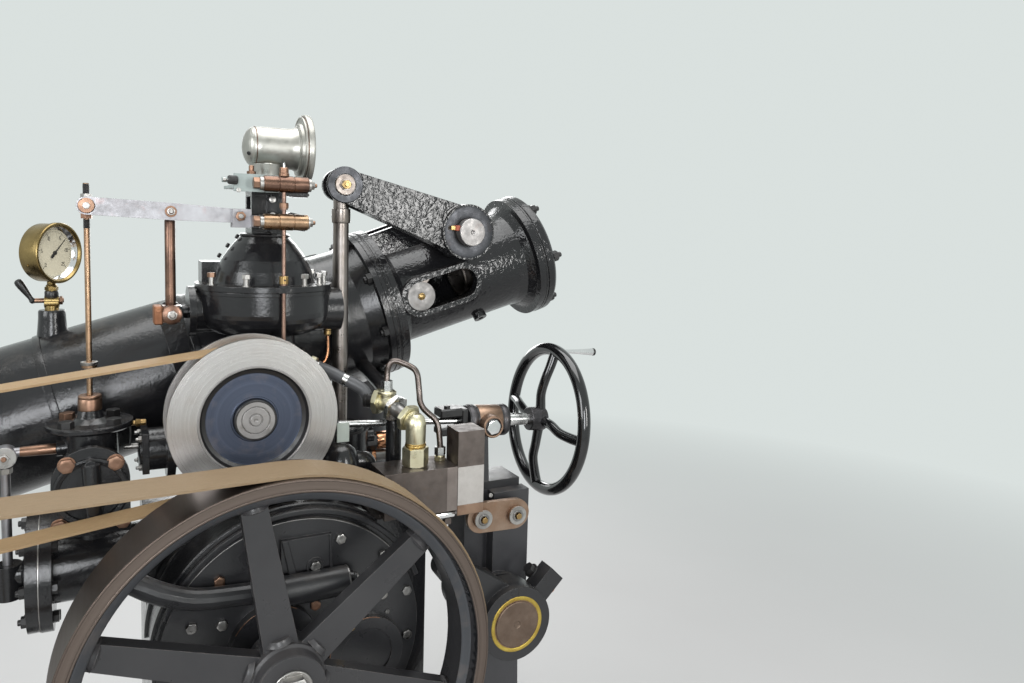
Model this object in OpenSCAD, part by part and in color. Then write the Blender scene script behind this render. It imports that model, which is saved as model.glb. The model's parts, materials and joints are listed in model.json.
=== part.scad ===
// Mechanical-hydraulic governor set of a water turbine, with its nozzle pipe.
// Origin on the floor under the governor column, +X along the belts towards the handwheel,
// +Y from the big belt wheel back to the nozzle pipe, +Z up. All sizes in millimetres.

/* [Bed and pump housing] */
// Thickness of the cast bed on the floor
bed_h = 80; // [60:1:120]
// Left end of the bed
bed_left = -300; // [-330:1:-290]
// Right end of the bed
bed_right = 575; // [560:1:640]
// Front edge of the bed
bed_front = -185; // [-220:1:-180]
// Back edge of the bed
bed_back = 420; // [400:1:480]
// Radius of the foundation bolt holes
foundation_hole_r = 12; // [9:1:14]
// Width of the pump housing
housing_w = 500; // [480:1:520]
// Depth of the arched front part of the housing
arch_depth = 155; // [140:1:160]
// Depth of the square back part of the housing
tank_depth = 200; // [190:1:210]
// Height of the square back part over the floor
tank_top = 880; // [860:1:890]
// Radius of the round pump cover
cover_r = 236; // [220:1:240]
// Thickness of the pump cover
cover_t = 15; // [12:1:20]
// Height of the centre of the pump cover
cover_z = 668; // [650:1:680]
// Plane where the cover meets the housing
cover_seat_y = -165; // [-170:1:-160]

/* [Belt drive] */
// Radius of the big belt wheel without its belt
wheel_r = 354; // [330:1:360]
// Width of the rim of the big belt wheel
wheel_w = 120; // [100:1:125]
// Radial thickness of the rim
rim_t = 42; // [30:1:50]
// Number of spokes
spokes = 6; // [5:1:8]
// Side place of the wheel's centre
wheel_x = -55; // [-60:1:-50]
// Height of the wheel's centre
wheel_z = 680; // [670:1:690]
// Front face of the big wheel
wheel_front = -350; // [-360:1:-350]
// Radius of the wheel's shaft
wheel_shaft_r = 30; // [24:1:36]
// Width of the wide belt
wide_belt_w = 90; // [70:1:100]
// Thickness of both belts
belt_t = 4; // [3:0.5:5]
// Flange radius of the governor pulley
gov_flange_r = 148; // [140:1:150]
// Radius on which the narrow belt runs
gov_seat_r = 127; // [118:1:130]
// Width of the narrow pulleys over their flanges
gov_pulley_w = 76; // [70:1:78]
// Side place of the governor pulley
gov_pulley_x = -78; // [-82:1:-74]
// Height of the governor pulley
gov_pulley_z = 1087; // [1082:1:1092]
// Width of the narrow belt
narrow_belt_w = 58; // [46:1:60]
// Side place of the driving shaft
drive_x = -1078; // [-1110:1:-1050]
// Height of the driving shaft
drive_z = 957; // [950:1:964]
// Radius of the small driving pulley under the wide belt
drive_wide_r = 58; // [50:1:64]
// Seat radius of the driving pulley under the narrow belt
drive_narrow_r = 125; // [116:1:128]
// Radius of the driving shaft
drive_shaft_r = 20; // [16:1:24]

/* [Governor head] */
// Side place of the governor's axis
gov_x = -21; // [-24:1:-18]
// Depth of the governor's axis
gov_y = 80; // [79:1:84]
// Radius of the gear bowl
bowl_r = 131; // [124:1:133]
// Height of the bowl's upper edge
bowl_top = 1307; // [1300:1:1312]
// Height of the bowl's foot
bowl_foot = 1212; // [1208:1:1216]
// Height of the cross bosses
boss_z = 1262; // [1258:1:1266]
// Radius of the left boss
boss_left_r = 50; // [40:1:52]
// Radius of the right boss
boss_right_r = 45; // [36:1:48]
// Thickness of the dome's flange
dome_flange_t = 11; // [9:1:14]
// Height of the dome over its flange
dome_h = 95; // [90:1:100]
// Width of the slotted column
column_w = 64; // [56:1:70]
// Height of the slotted column
column_h = 93; // [90:1:100]
// Radius of the tachometer body
tach_r = 40; // [34:1:44]
// Height of the tachometer's axis
tach_z = 1592; // [1588:1:1596]
// Radius of the tachometer's bezel
bezel_r = 70; // [60:1:74]
// Radius of the speeder rod
speeder_r = 4; // [3:0.5:5]

/* [Floating lever] */
// Depth of the middle of the floating lever
lever_y = 16; // [14:1:18]
// Thickness of the floating lever
lever_t = 12; // [10:1:14]
// Height of the floating lever's bar
lever_h = 32; // [26:1:36]
// Side place of the pin at the valve rod
pin_left_x = -341; // [-344:1:-338]
// Height of the pin at the valve rod
pin_left_z = 1463; // [1460:1:1466]
// Side place of the pivot on the link
pin_mid_x = -203; // [-206:1:-200]
// Height of the pivot on the link
pin_mid_z = 1457; // [1455:1:1459]
// Side place of the pin at the slider
pin_right_x = -81; // [-84:1:-78]
// Height of the pin at the slider
pin_right_z = 1452; // [1450:1:1454]
// Radius of the valve rod
valve_rod_r = 5; // [4:0.5:6]

/* [Pilot valve and relay] */
// Depth of the pilot valve's axis
valve_y = 34; // [32:1:36]
// Radius of the valve's cap
cap_r = 71; // [60:1:74]
// Height of the upper face of the valve's cap
cap_top = 1068; // [1060:1:1074]
// Height of the relay cylinder's axis
relay_z = 805; // [800:1:810]
// Depth of the relay cylinder's axis
relay_y = 20; // [16:1:24]
// Outer radius of the relay cylinder
relay_r = 62; // [56:1:66]
// Radius of the relay cylinder's flanges
relay_flange_r = 108; // [96:1:112]

/* [Nozzle] */
// Depth of the nozzle's axis
nozzle_y = 300; // [298:1:304]
// Side place of the joint between pipe and yoke
nozzle_x = 275; // [272:1:278]
// Height of that joint on the nozzle's axis
nozzle_z = 1247; // [1244:1:1250]
// Slope of the nozzle's axis in degrees
nozzle_tilt = 16.6; // [16:0.1:17]
// Outer radius of the nozzle pipe
pipe_r = 150; // [140:1:155]
// Length of the nozzle pipe from its joint
pipe_len = 1020; // [1000:1:1060]
// Radius of the bolt holes in the pipe's end flange
flange_hole_r = 12; // [9:1:13]
// Radius of the bolt circle in the pipe's end flange
flange_bolt_circle_r = 178; // [174:1:182]
// Radius of the joint flanges
joint_r = 178; // [168:1:182]
// Outer radius of the yoke
yoke_r = 120; // [114:1:124]
// Wall of the yoke
yoke_wall = 20; // [16:1:24]
// Length of the yoke with its cover
yoke_len = 451; // [440:1:470]
// Radius of the end cover
end_cover_r = 158; // [148:1:162]

/* [Rocking lever and servo rod] */
// Side place of the cross shaft
shaft_x = 444; // [442:1:446]
// Height of the cross shaft
shaft_z = 1430; // [1428:1:1432]
// Radius of the cross shaft
shaft_r = 32; // [28:1:34]
// Radius of the lever's boss
lever_boss_r = 65; // [58:1:68]
// Side place of the lever's eye
eye_x = 150; // [148:1:152]
// Height of the lever's eye
eye_z = 1526; // [1522:1:1530]
// Radius of the lever's eye
eye_r = 35; // [32:1:38]
// Front face of the rocking lever
rocker_front = 95; // [94:1:100]
// Thickness of the rocking lever
rocker_t = 66; // [60:1:70]
// Radius of the servo rod
servo_rod_r = 17; // [14:1:18]
// Height of the lower end of the servo rod
servo_rod_foot = 900; // [890:1:905]
// Radius of the crosshead's disc
crosshead_r = 35; // [30:1:38]

/* [Handwheel] */
// Side place of the middle of the handwheel's hub
hand_x = 613; // [608:1:618]
// Depth of the handwheel's axis
hand_y = 0; // [-4:1:2]
// Height of the handwheel's hub
hand_z = 994; // [990:1:998]
// Tilt of the handwheel's axis in degrees
hand_tilt = 3.8; // [3:0.1:4]
// Radius of the handwheel to the middle of its rim
hand_r = 165; // [150:1:175]
// Radius of the rim's round section
hand_rim_r = 13; // [10:1:15]
// Number of spokes of the handwheel
hand_spokes = 4; // [3:1:5]
// Radius of the handwheel's shaft
hand_shaft_r = 14; // [11:1:16]

/* [Valve block and regulating shaft] */
// Length of the valve block
block_len = 152; // [140:1:160]
// Depth of the valve block
block_d = 88; // [80:1:95]
// Height of the valve block
block_h = 90; // [80:1:95]
// Left end of the valve block
block_left = 154; // [152:1:156]
// Underside of the valve block
block_z = 875; // [874:1:880]
// Width of the square guide bar
bar_w = 58; // [50:1:60]
// Height of the square guide bar
bar_h = 172; // [165:1:180]
// Side place of the regulating shaft
reg_x = 451; // [448:1:454]
// Height of the regulating shaft
reg_z = 604; // [600:1:608]
// Radius of the regulating shaft
reg_r = 52; // [46:1:56]
// Radius of the clamp hub on it
clamp_r = 80; // [74:1:84]

/* [Gauge] */
// Radius of the gauge's case
gauge_r = 62; // [50:1:64]
// Depth of the gauge's case
gauge_t = 45; // [36:1:50]
// Side place of the gauge's stem
gauge_x = -409; // [-412:1:-406]
// Height of the gauge's centre
gauge_z = 1366; // [1362:1:1370]

/* [Clearances] */
// Gap between a moving piece and what it seats on
seat = 0.3; // [0.2:0.05:0.4]
// Radial clearance of a shaft or rod in its bore
run = 0.5; // [0.3:0.05:0.6]

/* [Hidden] */
$fn = 64;
housing_front = cover_seat_y;
arch_back = housing_front + arch_depth;
tank_back = arch_back + tank_depth;
housing_left = -housing_w / 2 - 4;
housing_right = housing_w / 2 - 4;
housing_mid = (housing_left + housing_right) / 2;
cover_x = -12;
arch_r = housing_w / 2;
cover_front = cover_seat_y - cover_t;
wheel_back = wheel_front + wheel_w;
wheel_mid_y = (wheel_front + wheel_back) / 2;
wide_belt_y = wheel_front + 10;
bowl_front = gov_y - bowl_r;
speeder_x = -12;
speeder_y = bowl_front - 11;
gov_pulley_back = speeder_y - 10;
gov_pulley_front = gov_pulley_back - gov_pulley_w;
narrow_belt_y = gov_pulley_front + (gov_pulley_w - narrow_belt_w) / 2;
narrow_flange_t = 8;
wheel_belt_r = wheel_r + seat;
gov_belt_r = gov_seat_r + seat;
drive_wide_belt_r = drive_wide_r + seat;
drive_narrow_belt_r = drive_narrow_r + seat;
dome_top = bowl_top + dome_flange_t + dome_h;
column_top = dome_top + column_h;
boss_left_face = pin_mid_x + 34;
slider_z = pin_right_z - 9;
upper_roller_z = column_top + 8;
roller_r = 14;
nozzle_dx = cos(nozzle_tilt);
nozzle_dz = sin(nozzle_tilt);
shaft_s = (shaft_x - nozzle_x) * nozzle_dx + (shaft_z - nozzle_z) * nozzle_dz;
shaft_n = (shaft_z - nozzle_z) * nozzle_dx - (shaft_x - nozzle_x) * nozzle_dz;
crosshead_s = 91;
fork_pin_r = 12;
fork_play = 3.5;
fork_travel = 28;
rocker_back = rocker_front + rocker_t;
rocker_angle = atan2(eye_z - shaft_z, eye_x - shaft_x);
rocker_len = sqrt(pow(eye_z - shaft_z, 2) + pow(eye_x - shaft_x, 2));
servo_y = rocker_front + rocker_t / 2;
drive_bearing_r = drive_shaft_r + 24;
bar_x = block_left + block_len + seat;
block_front = -180;
reg_front = -180;
block_top = block_z + block_h;
tee = [196, -84, block_top + 123];
line_end_z = 1166;
cross_pipe_z = tank_top + 126;
line_turn = -31;
line_boss_r = 82;
base_t = 30;
base_hole_r = 11;

black = [0.07, 0.07, 0.08];
steel = [0.72, 0.72, 0.70];
bronze = [0.62, 0.42, 0.28];
brass = [0.78, 0.62, 0.30];
belt_tan = [0.72, 0.58, 0.38];
zinc = [0.80, 0.76, 0.55];

// A cylinder along +Y from y0 to y1.
module along_y(x, z, y0, y1, r) {
    translate([x, y0, z])
        rotate([-90, 0, 0])
            cylinder(h = y1 - y0, r = r);
}

// A cylinder along +X from x0 to x1.
module along_x(y, z, x0, x1, r) {
    translate([x0, y, z])
        rotate([0, 90, 0])
            cylinder(h = x1 - x0, r = r);
}

// A cylinder along +Z from z0 to z1.
module along_z(x, y, z0, z1, r) {
    translate([x, y, z0])
        cylinder(h = z1 - z0, r = r);
}

// A box between two corners.
module box(lo, hi) {
    translate(lo)
        cube([hi[0] - lo[0], hi[1] - lo[1], hi[2] - lo[2]]);
}

// A flat outline in the XZ plane, extruded from y0 to y1.
module plate_xz(y0, y1) {
    translate([0, y1, 0])
        rotate([90, 0, 0])
            linear_extrude(height = y1 - y0)
                children();
}

// A straight bar outline between two points with round ends.
module link_outline(a, b, ra, rb) {
    d = norm(b - a);
    t = acos((ra - rb) / d);
    w = atan2(b[1] - a[1], b[0] - a[0]);
    polygon([
        a + ra * [cos(w + t), sin(w + t)],
        b + rb * [cos(w + t), sin(w + t)],
        b + rb * [cos(w - t), sin(w - t)],
        a + ra * [cos(w - t), sin(w - t)]]);
    translate(a)
        circle(r = ra);
    translate(b)
        circle(r = rb);
}

// What stands along the nozzle's axis: local +Z runs from the joint to the end cover.
module on_nozzle(s = 0) {
    translate([nozzle_x + s * nozzle_dx, nozzle_y, nozzle_z + s * nozzle_dz])
        rotate([0, 90 - nozzle_tilt, 0])
            children();
}

// What stands along the handwheel's axis: local +Z points away from the machine.
module on_hand(s = 0) {
    translate([hand_x + s * cos(hand_tilt), hand_y, hand_z - s * sin(hand_tilt)])
        rotate([0, 90 + hand_tilt, 0])
            children();
}

// A point of the smooth curve through p, at a place from 0 to the last index.
function curve_at(p, place) =
    let (last = len(p) - 1, i = min(floor(place), last - 1), u = place - i,
        p0 = p[max(i - 1, 0)], p1 = p[i], p2 = p[i + 1], p3 = p[min(i + 2, last)])
    p1 + u * (p2 - p0) / 2
        + u * u * (2 * p0 - 5 * p1 + 4 * p2 - p3) / 2
        + u * u * u * (3 * p1 - p0 - 3 * p2 + p3) / 2;

function unit(v) = v / norm(v);

// A round tube along the smooth curve through a few points. The side vector is never
// along the tube.
module bent_tube(points, r, steps, side_vector, sides = 16) {
    last = len(points) - 1;
    count = last * steps;
    ring = [for (i = [0 : count])
        let (at = curve_at(points, i / steps),
            ahead = unit(curve_at(points, min(i + 0.2, count) / steps)
                - curve_at(points, max(i - 0.2, 0) / steps)),
            u = unit(cross(ahead, side_vector)),
            v = cross(ahead, u))
        [for (k = [0 : sides - 1])
            at + r * (cos(360 * k / sides) * u + sin(360 * k / sides) * v)]];
    polyhedron(
        points = [for (c = ring) each c],
        faces = concat(
            [[for (k = [0 : sides - 1]) k]],
            [for (i = [0 : count - 1], k = [0 : sides - 1])
                let (a = i * sides + k, b = i * sides + (k + 1) % sides)
                [a, a + sides, b + sides, b]],
            [[for (k = [sides - 1 : -1 : 0]) count * sides + k]]));
}

module bed_frame() {
    edge = 32;
    color(black)
        difference() {
            box([bed_left, bed_front, 0], [bed_right, bed_back, bed_h]);
            for (x = [bed_left + edge, bed_right - edge])
                for (y = [bed_front - 1 + edge, bed_back - edge])
                    along_z(x, y, -1, bed_h + 1, foundation_hole_r);
        }
}

module pump_housing() {
    rod_bore = servo_rod_r + 26;
    color(black)
        difference() {
            union() {
                box([housing_left, housing_front, bed_h], [housing_right, arch_back, cover_z]);
                along_y(housing_mid, cover_z, housing_front, arch_back, arch_r);
                box([block_left - 10, housing_front, cover_z],
                    [housing_right, arch_back, block_z]);
                box([housing_left, arch_back, bed_h], [housing_right, tank_back, tank_top]);
            }
            along_y(wheel_x, wheel_z, housing_front - 1, housing_front + 90, wheel_shaft_r + run);
            along_z(eye_x - 8, servo_y, 790, tank_top + 1, rod_bore);
        }
}

module pump_cover() {
    color(black)
        difference() {
            union() {
                along_y(cover_x, cover_z, cover_front, cover_seat_y, cover_r);
                along_y(wheel_x, wheel_z, cover_front - 22, cover_front, 78);
                along_y(117, 626, cover_front - 16, cover_front, 72);
                box([-42, cover_front - 10, 812], [49, cover_front, 872]);
            }
            along_y(wheel_x, wheel_z, cover_front - 30, cover_seat_y + 1, wheel_shaft_r + run);
            along_y(117, 626, cover_front - 20, cover_front - 12, 50);
        }
}

module suction_arm() {
    arm_y = -202;
    arm_r = 19;
    boss_r = 27;
    arm_boss_z = 784;
    color(black) {
        difference() {
            along_x(arm_y, arm_boss_z, -40, 77, boss_r);
            box([-60, cover_front, 700], [100, cover_front + 60, 900]);
        }
        bent_tube([[-40, arm_y, 789], [-115, arm_y, 793], [-190, arm_y, 800],
            [-245, arm_y, 822], [-290, arm_y + 12, 848], [-312, arm_y + 60, 848],
            [-312, relay_y - relay_r - 44, relay_z + 1],
            [-312, relay_y - relay_r - 14, relay_z]],
            arm_r, 3, [0, 0.45, 1]);
        along_x(arm_y, arm_boss_z, 77, 92, 12);
    }
}

module governor_pedestal() {
    color(black)
        difference() {
            union() {
                translate([gov_x, gov_y, tank_top])
                    rotate_extrude()
                        polygon([[0, 0], [88, 0], [88, 18], [76, 24], [70, 60], [70, 240],
                            [62, 290], [60, bowl_foot - tank_top], [0, bowl_foot - tank_top]]);
                along_y(gov_pulley_x, gov_pulley_z, gov_pulley_back + 14, gov_y + 40, 40);
                box([speeder_x - 12, speeder_y - 3, 1150], [speeder_x + 12, gov_y, 1172]);
                along_x(30, cross_pipe_z, -245, gov_x, 40);
                along_x(30, cross_pipe_z, -215, -200, 56);
                box([-257, -8, cross_pipe_z - 38], [-245, 68, cross_pipe_z + 38]);
                translate([gov_x, gov_y, line_end_z])
                    rotate([0, 90, line_turn])
                        cylinder(h = line_boss_r, r = 20);
            }
            along_y(gov_pulley_x, gov_pulley_z, gov_pulley_back, gov_y + 20, 15 + run);
            along_z(speeder_x, speeder_y, 1140, 1180, speeder_r + seat);
        }
}

module governor_bowl() {
    rise = 50;
    depth = bowl_r - 60;
    color(black)
        difference() {
            union() {
                translate([gov_x, gov_y, 0])
                    rotate_extrude()
                        polygon(concat([[0, bowl_top], [0, bowl_foot]],
                            [for (a = [0 : 10 : 90])
                                [60 + depth * sin(a), bowl_foot + rise * (1 - cos(a))]],
                            [[bowl_r, bowl_top]]));
                along_x(gov_y, boss_z, boss_left_face + 13, gov_x, boss_left_r - 8);
                along_x(gov_y, boss_z, boss_left_face, boss_left_face + 13, boss_left_r);
                along_x(gov_y - 20, boss_z, gov_x, gov_x + bowl_r + 17, boss_right_r);
            }
            on_nozzle(-pipe_len)
                cylinder(h = pipe_len, r = pipe_r + 4);
        }
}

module governor_dome() {
    color(black)
        difference() {
            union() {
                translate([gov_x, gov_y, bowl_top])
                    rotate_extrude()
                        polygon([[0, 0], [bowl_r + 3, 0], [bowl_r + 3, dome_flange_t],
                            [100, dome_flange_t], [98, 16], [93, 36], [84, 58], [72, 76],
                            [60, 92], [47, dome_flange_t + dome_h], [0, dome_flange_t + dome_h]]);
                box([gov_x - 119, gov_y + 20, bowl_top + 5], [gov_x - 80, gov_y + 80, bowl_top + 52]);
                box([speeder_x - 10, speeder_y - 9, bowl_top + 1],
                    [speeder_x + 10, bowl_front + 30, bowl_top + dome_flange_t + 4]);
            }
            along_z(speeder_x, speeder_y, bowl_top - 5, bowl_top + 30, speeder_r + seat);
        }
}

module slotted_column() {
    half = column_w / 2;
    color(black)
        difference() {
            box([gov_x - half, gov_y - 36, dome_top], [gov_x + half, gov_y + 36, column_top]);
            box([gov_x - 5, gov_y - 40, dome_top + 8], [gov_x + 5, gov_y - 4, column_top - 8]);
            box([gov_x - half - 1, gov_y - 24, dome_top + 16],
                [gov_x - half + 12, gov_y + 24, column_top - 14]);
            box([gov_x + half - 12, gov_y - 24, dome_top + 16],
                [gov_x + half + 1, gov_y + 24, column_top - 14]);
        }
}

module adjuster_bracket() {
    lip_front = speeder_y + roller_r + seat;
    color([0.62, 0.68, 0.62]) {
        box([gov_x - 74, lip_front, column_top], [gov_x + 32, gov_y + 36, column_top + 6]);
        box([gov_x - 79, lip_front, column_top - 8], [gov_x + 10, lip_front + 5, column_top + 25]);
        along_x(lip_front + 14, column_top + 13, gov_x - 98, gov_x - 60, 5);
        box([gov_x - 74, lip_front, column_top], [gov_x - 66, lip_front + 24, column_top + 22]);
    }
}

module upper_roller() {
    color(bronze)
        difference() {
            along_x(speeder_y, upper_roller_z, -50, 33, roller_r);
            along_z(speeder_x, speeder_y, upper_roller_z - 20, upper_roller_z + 20,
                speeder_r + seat);
        }
}

module speeder_rod() {
    guide_top = bowl_top + dome_flange_t + 4;
    color(bronze) {
        along_z(speeder_x, speeder_y, 1150, upper_roller_z + 28, speeder_r);
        along_z(speeder_x, speeder_y, guide_top + seat, guide_top + 12, 7);
        along_z(speeder_x, speeder_y, slider_z + roller_r + 9, slider_z + roller_r + 17, 7);
        along_z(speeder_x, speeder_y, upper_roller_z + roller_r + seat, upper_roller_z + 24, 8);
    }
}

module tachometer_body() {
    neck_x = gov_x + 3;
    color([0.62, 0.62, 0.58]) {
        along_x(gov_y, tach_z, -42, 43, tach_r);
        translate([-42, gov_y, tach_z])
            rotate([0, -90, 0])
                rotate_extrude()
                    polygon(concat([[0, 0]],
                        [for (a = [0 : 10 : 90]) [tach_r * cos(a), 23 * sin(a)]]));
        along_z(neck_x, gov_y, column_top + 6, tach_z - 20, 26);
    }
}

module tachometer_bezel() {
    color([0.66, 0.64, 0.58])
        translate([43, gov_y, tach_z])
            rotate([0, 90, 0])
                rotate_extrude()
                    polygon([[0, 0], [52, 0], [54, 6], [66, 6], [66, 10], [bezel_r, 11],
                        [bezel_r, 21], [62, 23], [62, 17], [0, 17]]);
}

module slider_fork() {
    cheek = lever_t / 2 + 1;
    web_x = gov_x - column_w / 2 - 9;
    color(steel)
        difference() {
            union() {
                box([pin_right_x - 14, lever_y - cheek - 7, slider_z - 13],
                    [web_x + 2, lever_y + cheek + 7, pin_right_z + 14]);
                box([web_x, speeder_y + roller_r + seat, slider_z - 11],
                    [web_x + 10, lever_y + cheek + 7, slider_z + 11]);
                box([web_x, lever_y + cheek, slider_z - 11], [gov_x + 12, gov_y - 41, slider_z + 11]);
                box([gov_x - 4, gov_y - 42, slider_z - 11], [gov_x + 4, gov_y - 20, slider_z + 11]);
                box([web_x, speeder_y - 4, slider_z - 6], [-50 - seat, lever_y, slider_z + 6]);
            }
            box([pin_right_x - 20, lever_y - cheek, slider_z - 20],
                [web_x - 2, lever_y + cheek, pin_right_z + 24]);
            along_y(pin_right_x, pin_right_z, lever_y - 30, lever_y + 30, 6);
        }
}

module lower_roller() {
    color(bronze)
        difference() {
            along_x(speeder_y, slider_z, -50, 30, roller_r);
            along_z(speeder_x, speeder_y, slider_z - 20, slider_z + 20, speeder_r + 1);
        }
}

module floating_lever() {
    pin_r = 5;
    color(steel)
        difference() {
            union() {
                plate_xz(lever_y - lever_t / 2, lever_y + lever_t / 2)
                    link_outline([pin_left_x, pin_left_z], [pin_mid_x, pin_mid_z],
                        lever_h / 2, lever_h / 2);
                plate_xz(lever_y - lever_t / 2, lever_y + lever_t / 2)
                    link_outline([pin_mid_x, pin_mid_z], [pin_right_x, pin_right_z],
                        lever_h / 2, 13);
                along_y(pin_right_x, pin_right_z, lever_y - 18, lever_y + 18, pin_r);
            }
            along_y(pin_mid_x, pin_mid_z, lever_y - 20, lever_y + 20, pin_r + run);
            along_y(pin_left_x, pin_left_z, lever_y - 20, lever_y + 20, pin_r + 0.8);
        }
}

module valve_rod() {
    block_front_y = lever_y + lever_t / 2 + 1;
    color(bronze) {
        along_z(pin_left_x, valve_y, 1080, pin_left_z + 40, valve_rod_r);
        box([pin_left_x - 11, block_front_y, pin_left_z - 13],
            [pin_left_x + 11, valve_y + 9, pin_left_z + 13]);
        along_y(pin_left_x, pin_left_z, lever_y - lever_t / 2 - 9, valve_y, 5 - seat);
        along_z(pin_left_x, valve_y, 1168, 1178, 13);
    }
}

module fulcrum_link() {
    y = valve_y;
    color(bronze) {
        along_z(pin_mid_x, y, 1264, pin_mid_z - 8, 9);
        box([pin_mid_x - 10, lever_y + lever_t / 2 + 1, pin_mid_z - 14],
            [pin_mid_x + 10, y + 9, pin_mid_z + 14]);
        along_y(pin_mid_x, pin_mid_z, lever_y - lever_t / 2 - 9, y, 5 - seat);
        box([pin_mid_x - 15, y - 16, 1248], [pin_mid_x + 15, y + 16, 1280]);
        along_y(pin_mid_x, 1264, y - 26, y + 47, 8);
    }
}

module return_arm() {
    color(black) {
        plate_xz(valve_y + 17, valve_y + 43)
            difference() {
                link_outline([pin_mid_x, 1264], [-168, 1110], 22, 15);
                translate([pin_mid_x, 1264])
                    circle(r = 8 + seat);
            }
        along_x(gov_y - 4, boss_z, pin_mid_x + 12, boss_left_face - seat, 13);
        box([pin_mid_x + 9, valve_y + 17, 1250], [pin_mid_x + 22, gov_y + 8, 1275]);
    }
}

module valve_body() {
    front = valve_y - 84;
    color(black)
        difference() {
            union() {
                along_z(pin_left_x, valve_y, relay_z, cap_top - 16, 46);
                along_x(relay_y, 1026, pin_left_x - 54, pin_left_x, 14);
                plate_xz(front, front + 14) {
                    translate([pin_left_x, 978])
                        circle(r = 62);
                    translate([pin_left_x, 930])
                        square([124, 96], center = true);
                }
                along_y(pin_left_x, 960, front, valve_y, 40);
                plate_xz(front - 16, front + 4)
                    link_outline([pin_left_x, 1010], [pin_left_x + 4, 900], 10, 12);
            }
            along_x(relay_y, relay_z, -460, -240, relay_r);
            along_z(pin_left_x, valve_y, 1020, cap_top, valve_rod_r + 1);
        }
}

module valve_cap() {
    color(black)
        difference() {
            translate([pin_left_x, valve_y, cap_top])
                rotate_extrude()
                    polygon([[0, -16], [cap_r - 18, -16], [cap_r, -8], [cap_r, 0], [36, 0],
                        [24, 8], [19, 22], [19, 48], [0, 48]]);
            along_z(pin_left_x, valve_y, cap_top - 20, cap_top + 60, valve_rod_r + run);
        }
}

module relay_cylinder() {
    color(black) {
        along_x(relay_y, relay_z, -403, housing_left, relay_r);
        along_y(-312, relay_z, relay_y - relay_r - 13, relay_y, 25);
        along_x(relay_y, relay_z, -422, -403, relay_flange_r);
        along_x(relay_y, relay_z, -443, -424, relay_flange_r - 2);
        along_x(relay_y, relay_z, -430, -410, relay_flange_r - 20);
        along_x(relay_y, relay_z, -520, -443, 19);
        along_z(-474, relay_y, relay_z - 42, relay_z + 20, 22);
    }
}

module relay_link() {
    top = 1020;
    color(steel) {
        along_z(-474, relay_y, relay_z + 20, top - 14, 8);
        along_y(-474, top, relay_y - 12, relay_y + 12, 19);
        along_x(relay_y, top + 6, -462, pin_left_x - 54, 8);
    }
}

module nozzle_pipe() {
    color(black)
        difference() {
            union() {
                on_nozzle(-pipe_len)
                    cylinder(h = pipe_len, r = pipe_r);
                on_nozzle(-24)
                    cylinder(h = 24, r = joint_r);
                on_nozzle(-64)
                    cylinder(h = 42, r1 = pipe_r - 1, r2 = pipe_r + 12);
                on_nozzle(-pipe_len)
                    cylinder(h = 28, r = pipe_r + 50);
            }
            on_nozzle(-pipe_len - 1)
                cylinder(h = pipe_len - 60, r = pipe_r - 14);
            for (k = [0 : 11])
                on_nozzle(-pipe_len - 1)
                    rotate([0, 0, 30 * k + 15])
                        translate([flange_bolt_circle_r, 0, 0])
                            cylinder(h = 40, r = flange_hole_r);
        }
}

module pipe_saddle() {
    sx = nozzle_x - 892 * nozzle_dx;
    color(black)
        difference() {
            union() {
                translate([sx - 32, 0, 0])
                    rotate([90, 0, 90])
                        linear_extrude(height = 64)
                            polygon([[nozzle_y - 165, base_t - 1], [nozzle_y + 165, base_t - 1],
                                [nozzle_y + 125, 960], [nozzle_y - 125, 960]]);
                box([sx - 110, nozzle_y - 190, 0], [sx + 110, nozzle_y + 190, base_t]);
            }
            for (x = [sx - 80, sx + 80])
                for (y = [nozzle_y - 160, nozzle_y + 160])
                    along_z(x, y, -1, base_t + 1, base_hole_r);
            on_nozzle(-pipe_len)
                cylinder(h = pipe_len, r = pipe_r);
            translate([sx - 200, 0, 0])
                rotate([90, 0, 90])
                    linear_extrude(height = 400) {
                        translate([nozzle_y - 90, 80])
                            square([180, 470]);
                        translate([nozzle_y, 550])
                            circle(r = 90);
                    }
        }
}

module nozzle_leg() {
    lx = nozzle_x - 20;
    color(black)
        difference() {
            union() {
                along_z(lx, nozzle_y, bed_h, 1200, 62);
                along_z(lx, nozzle_y, bed_h, bed_h + 30, 105);
            }
            on_nozzle(-200)
                cylinder(h = 400, r = joint_r + seat);
        }
}

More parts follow.
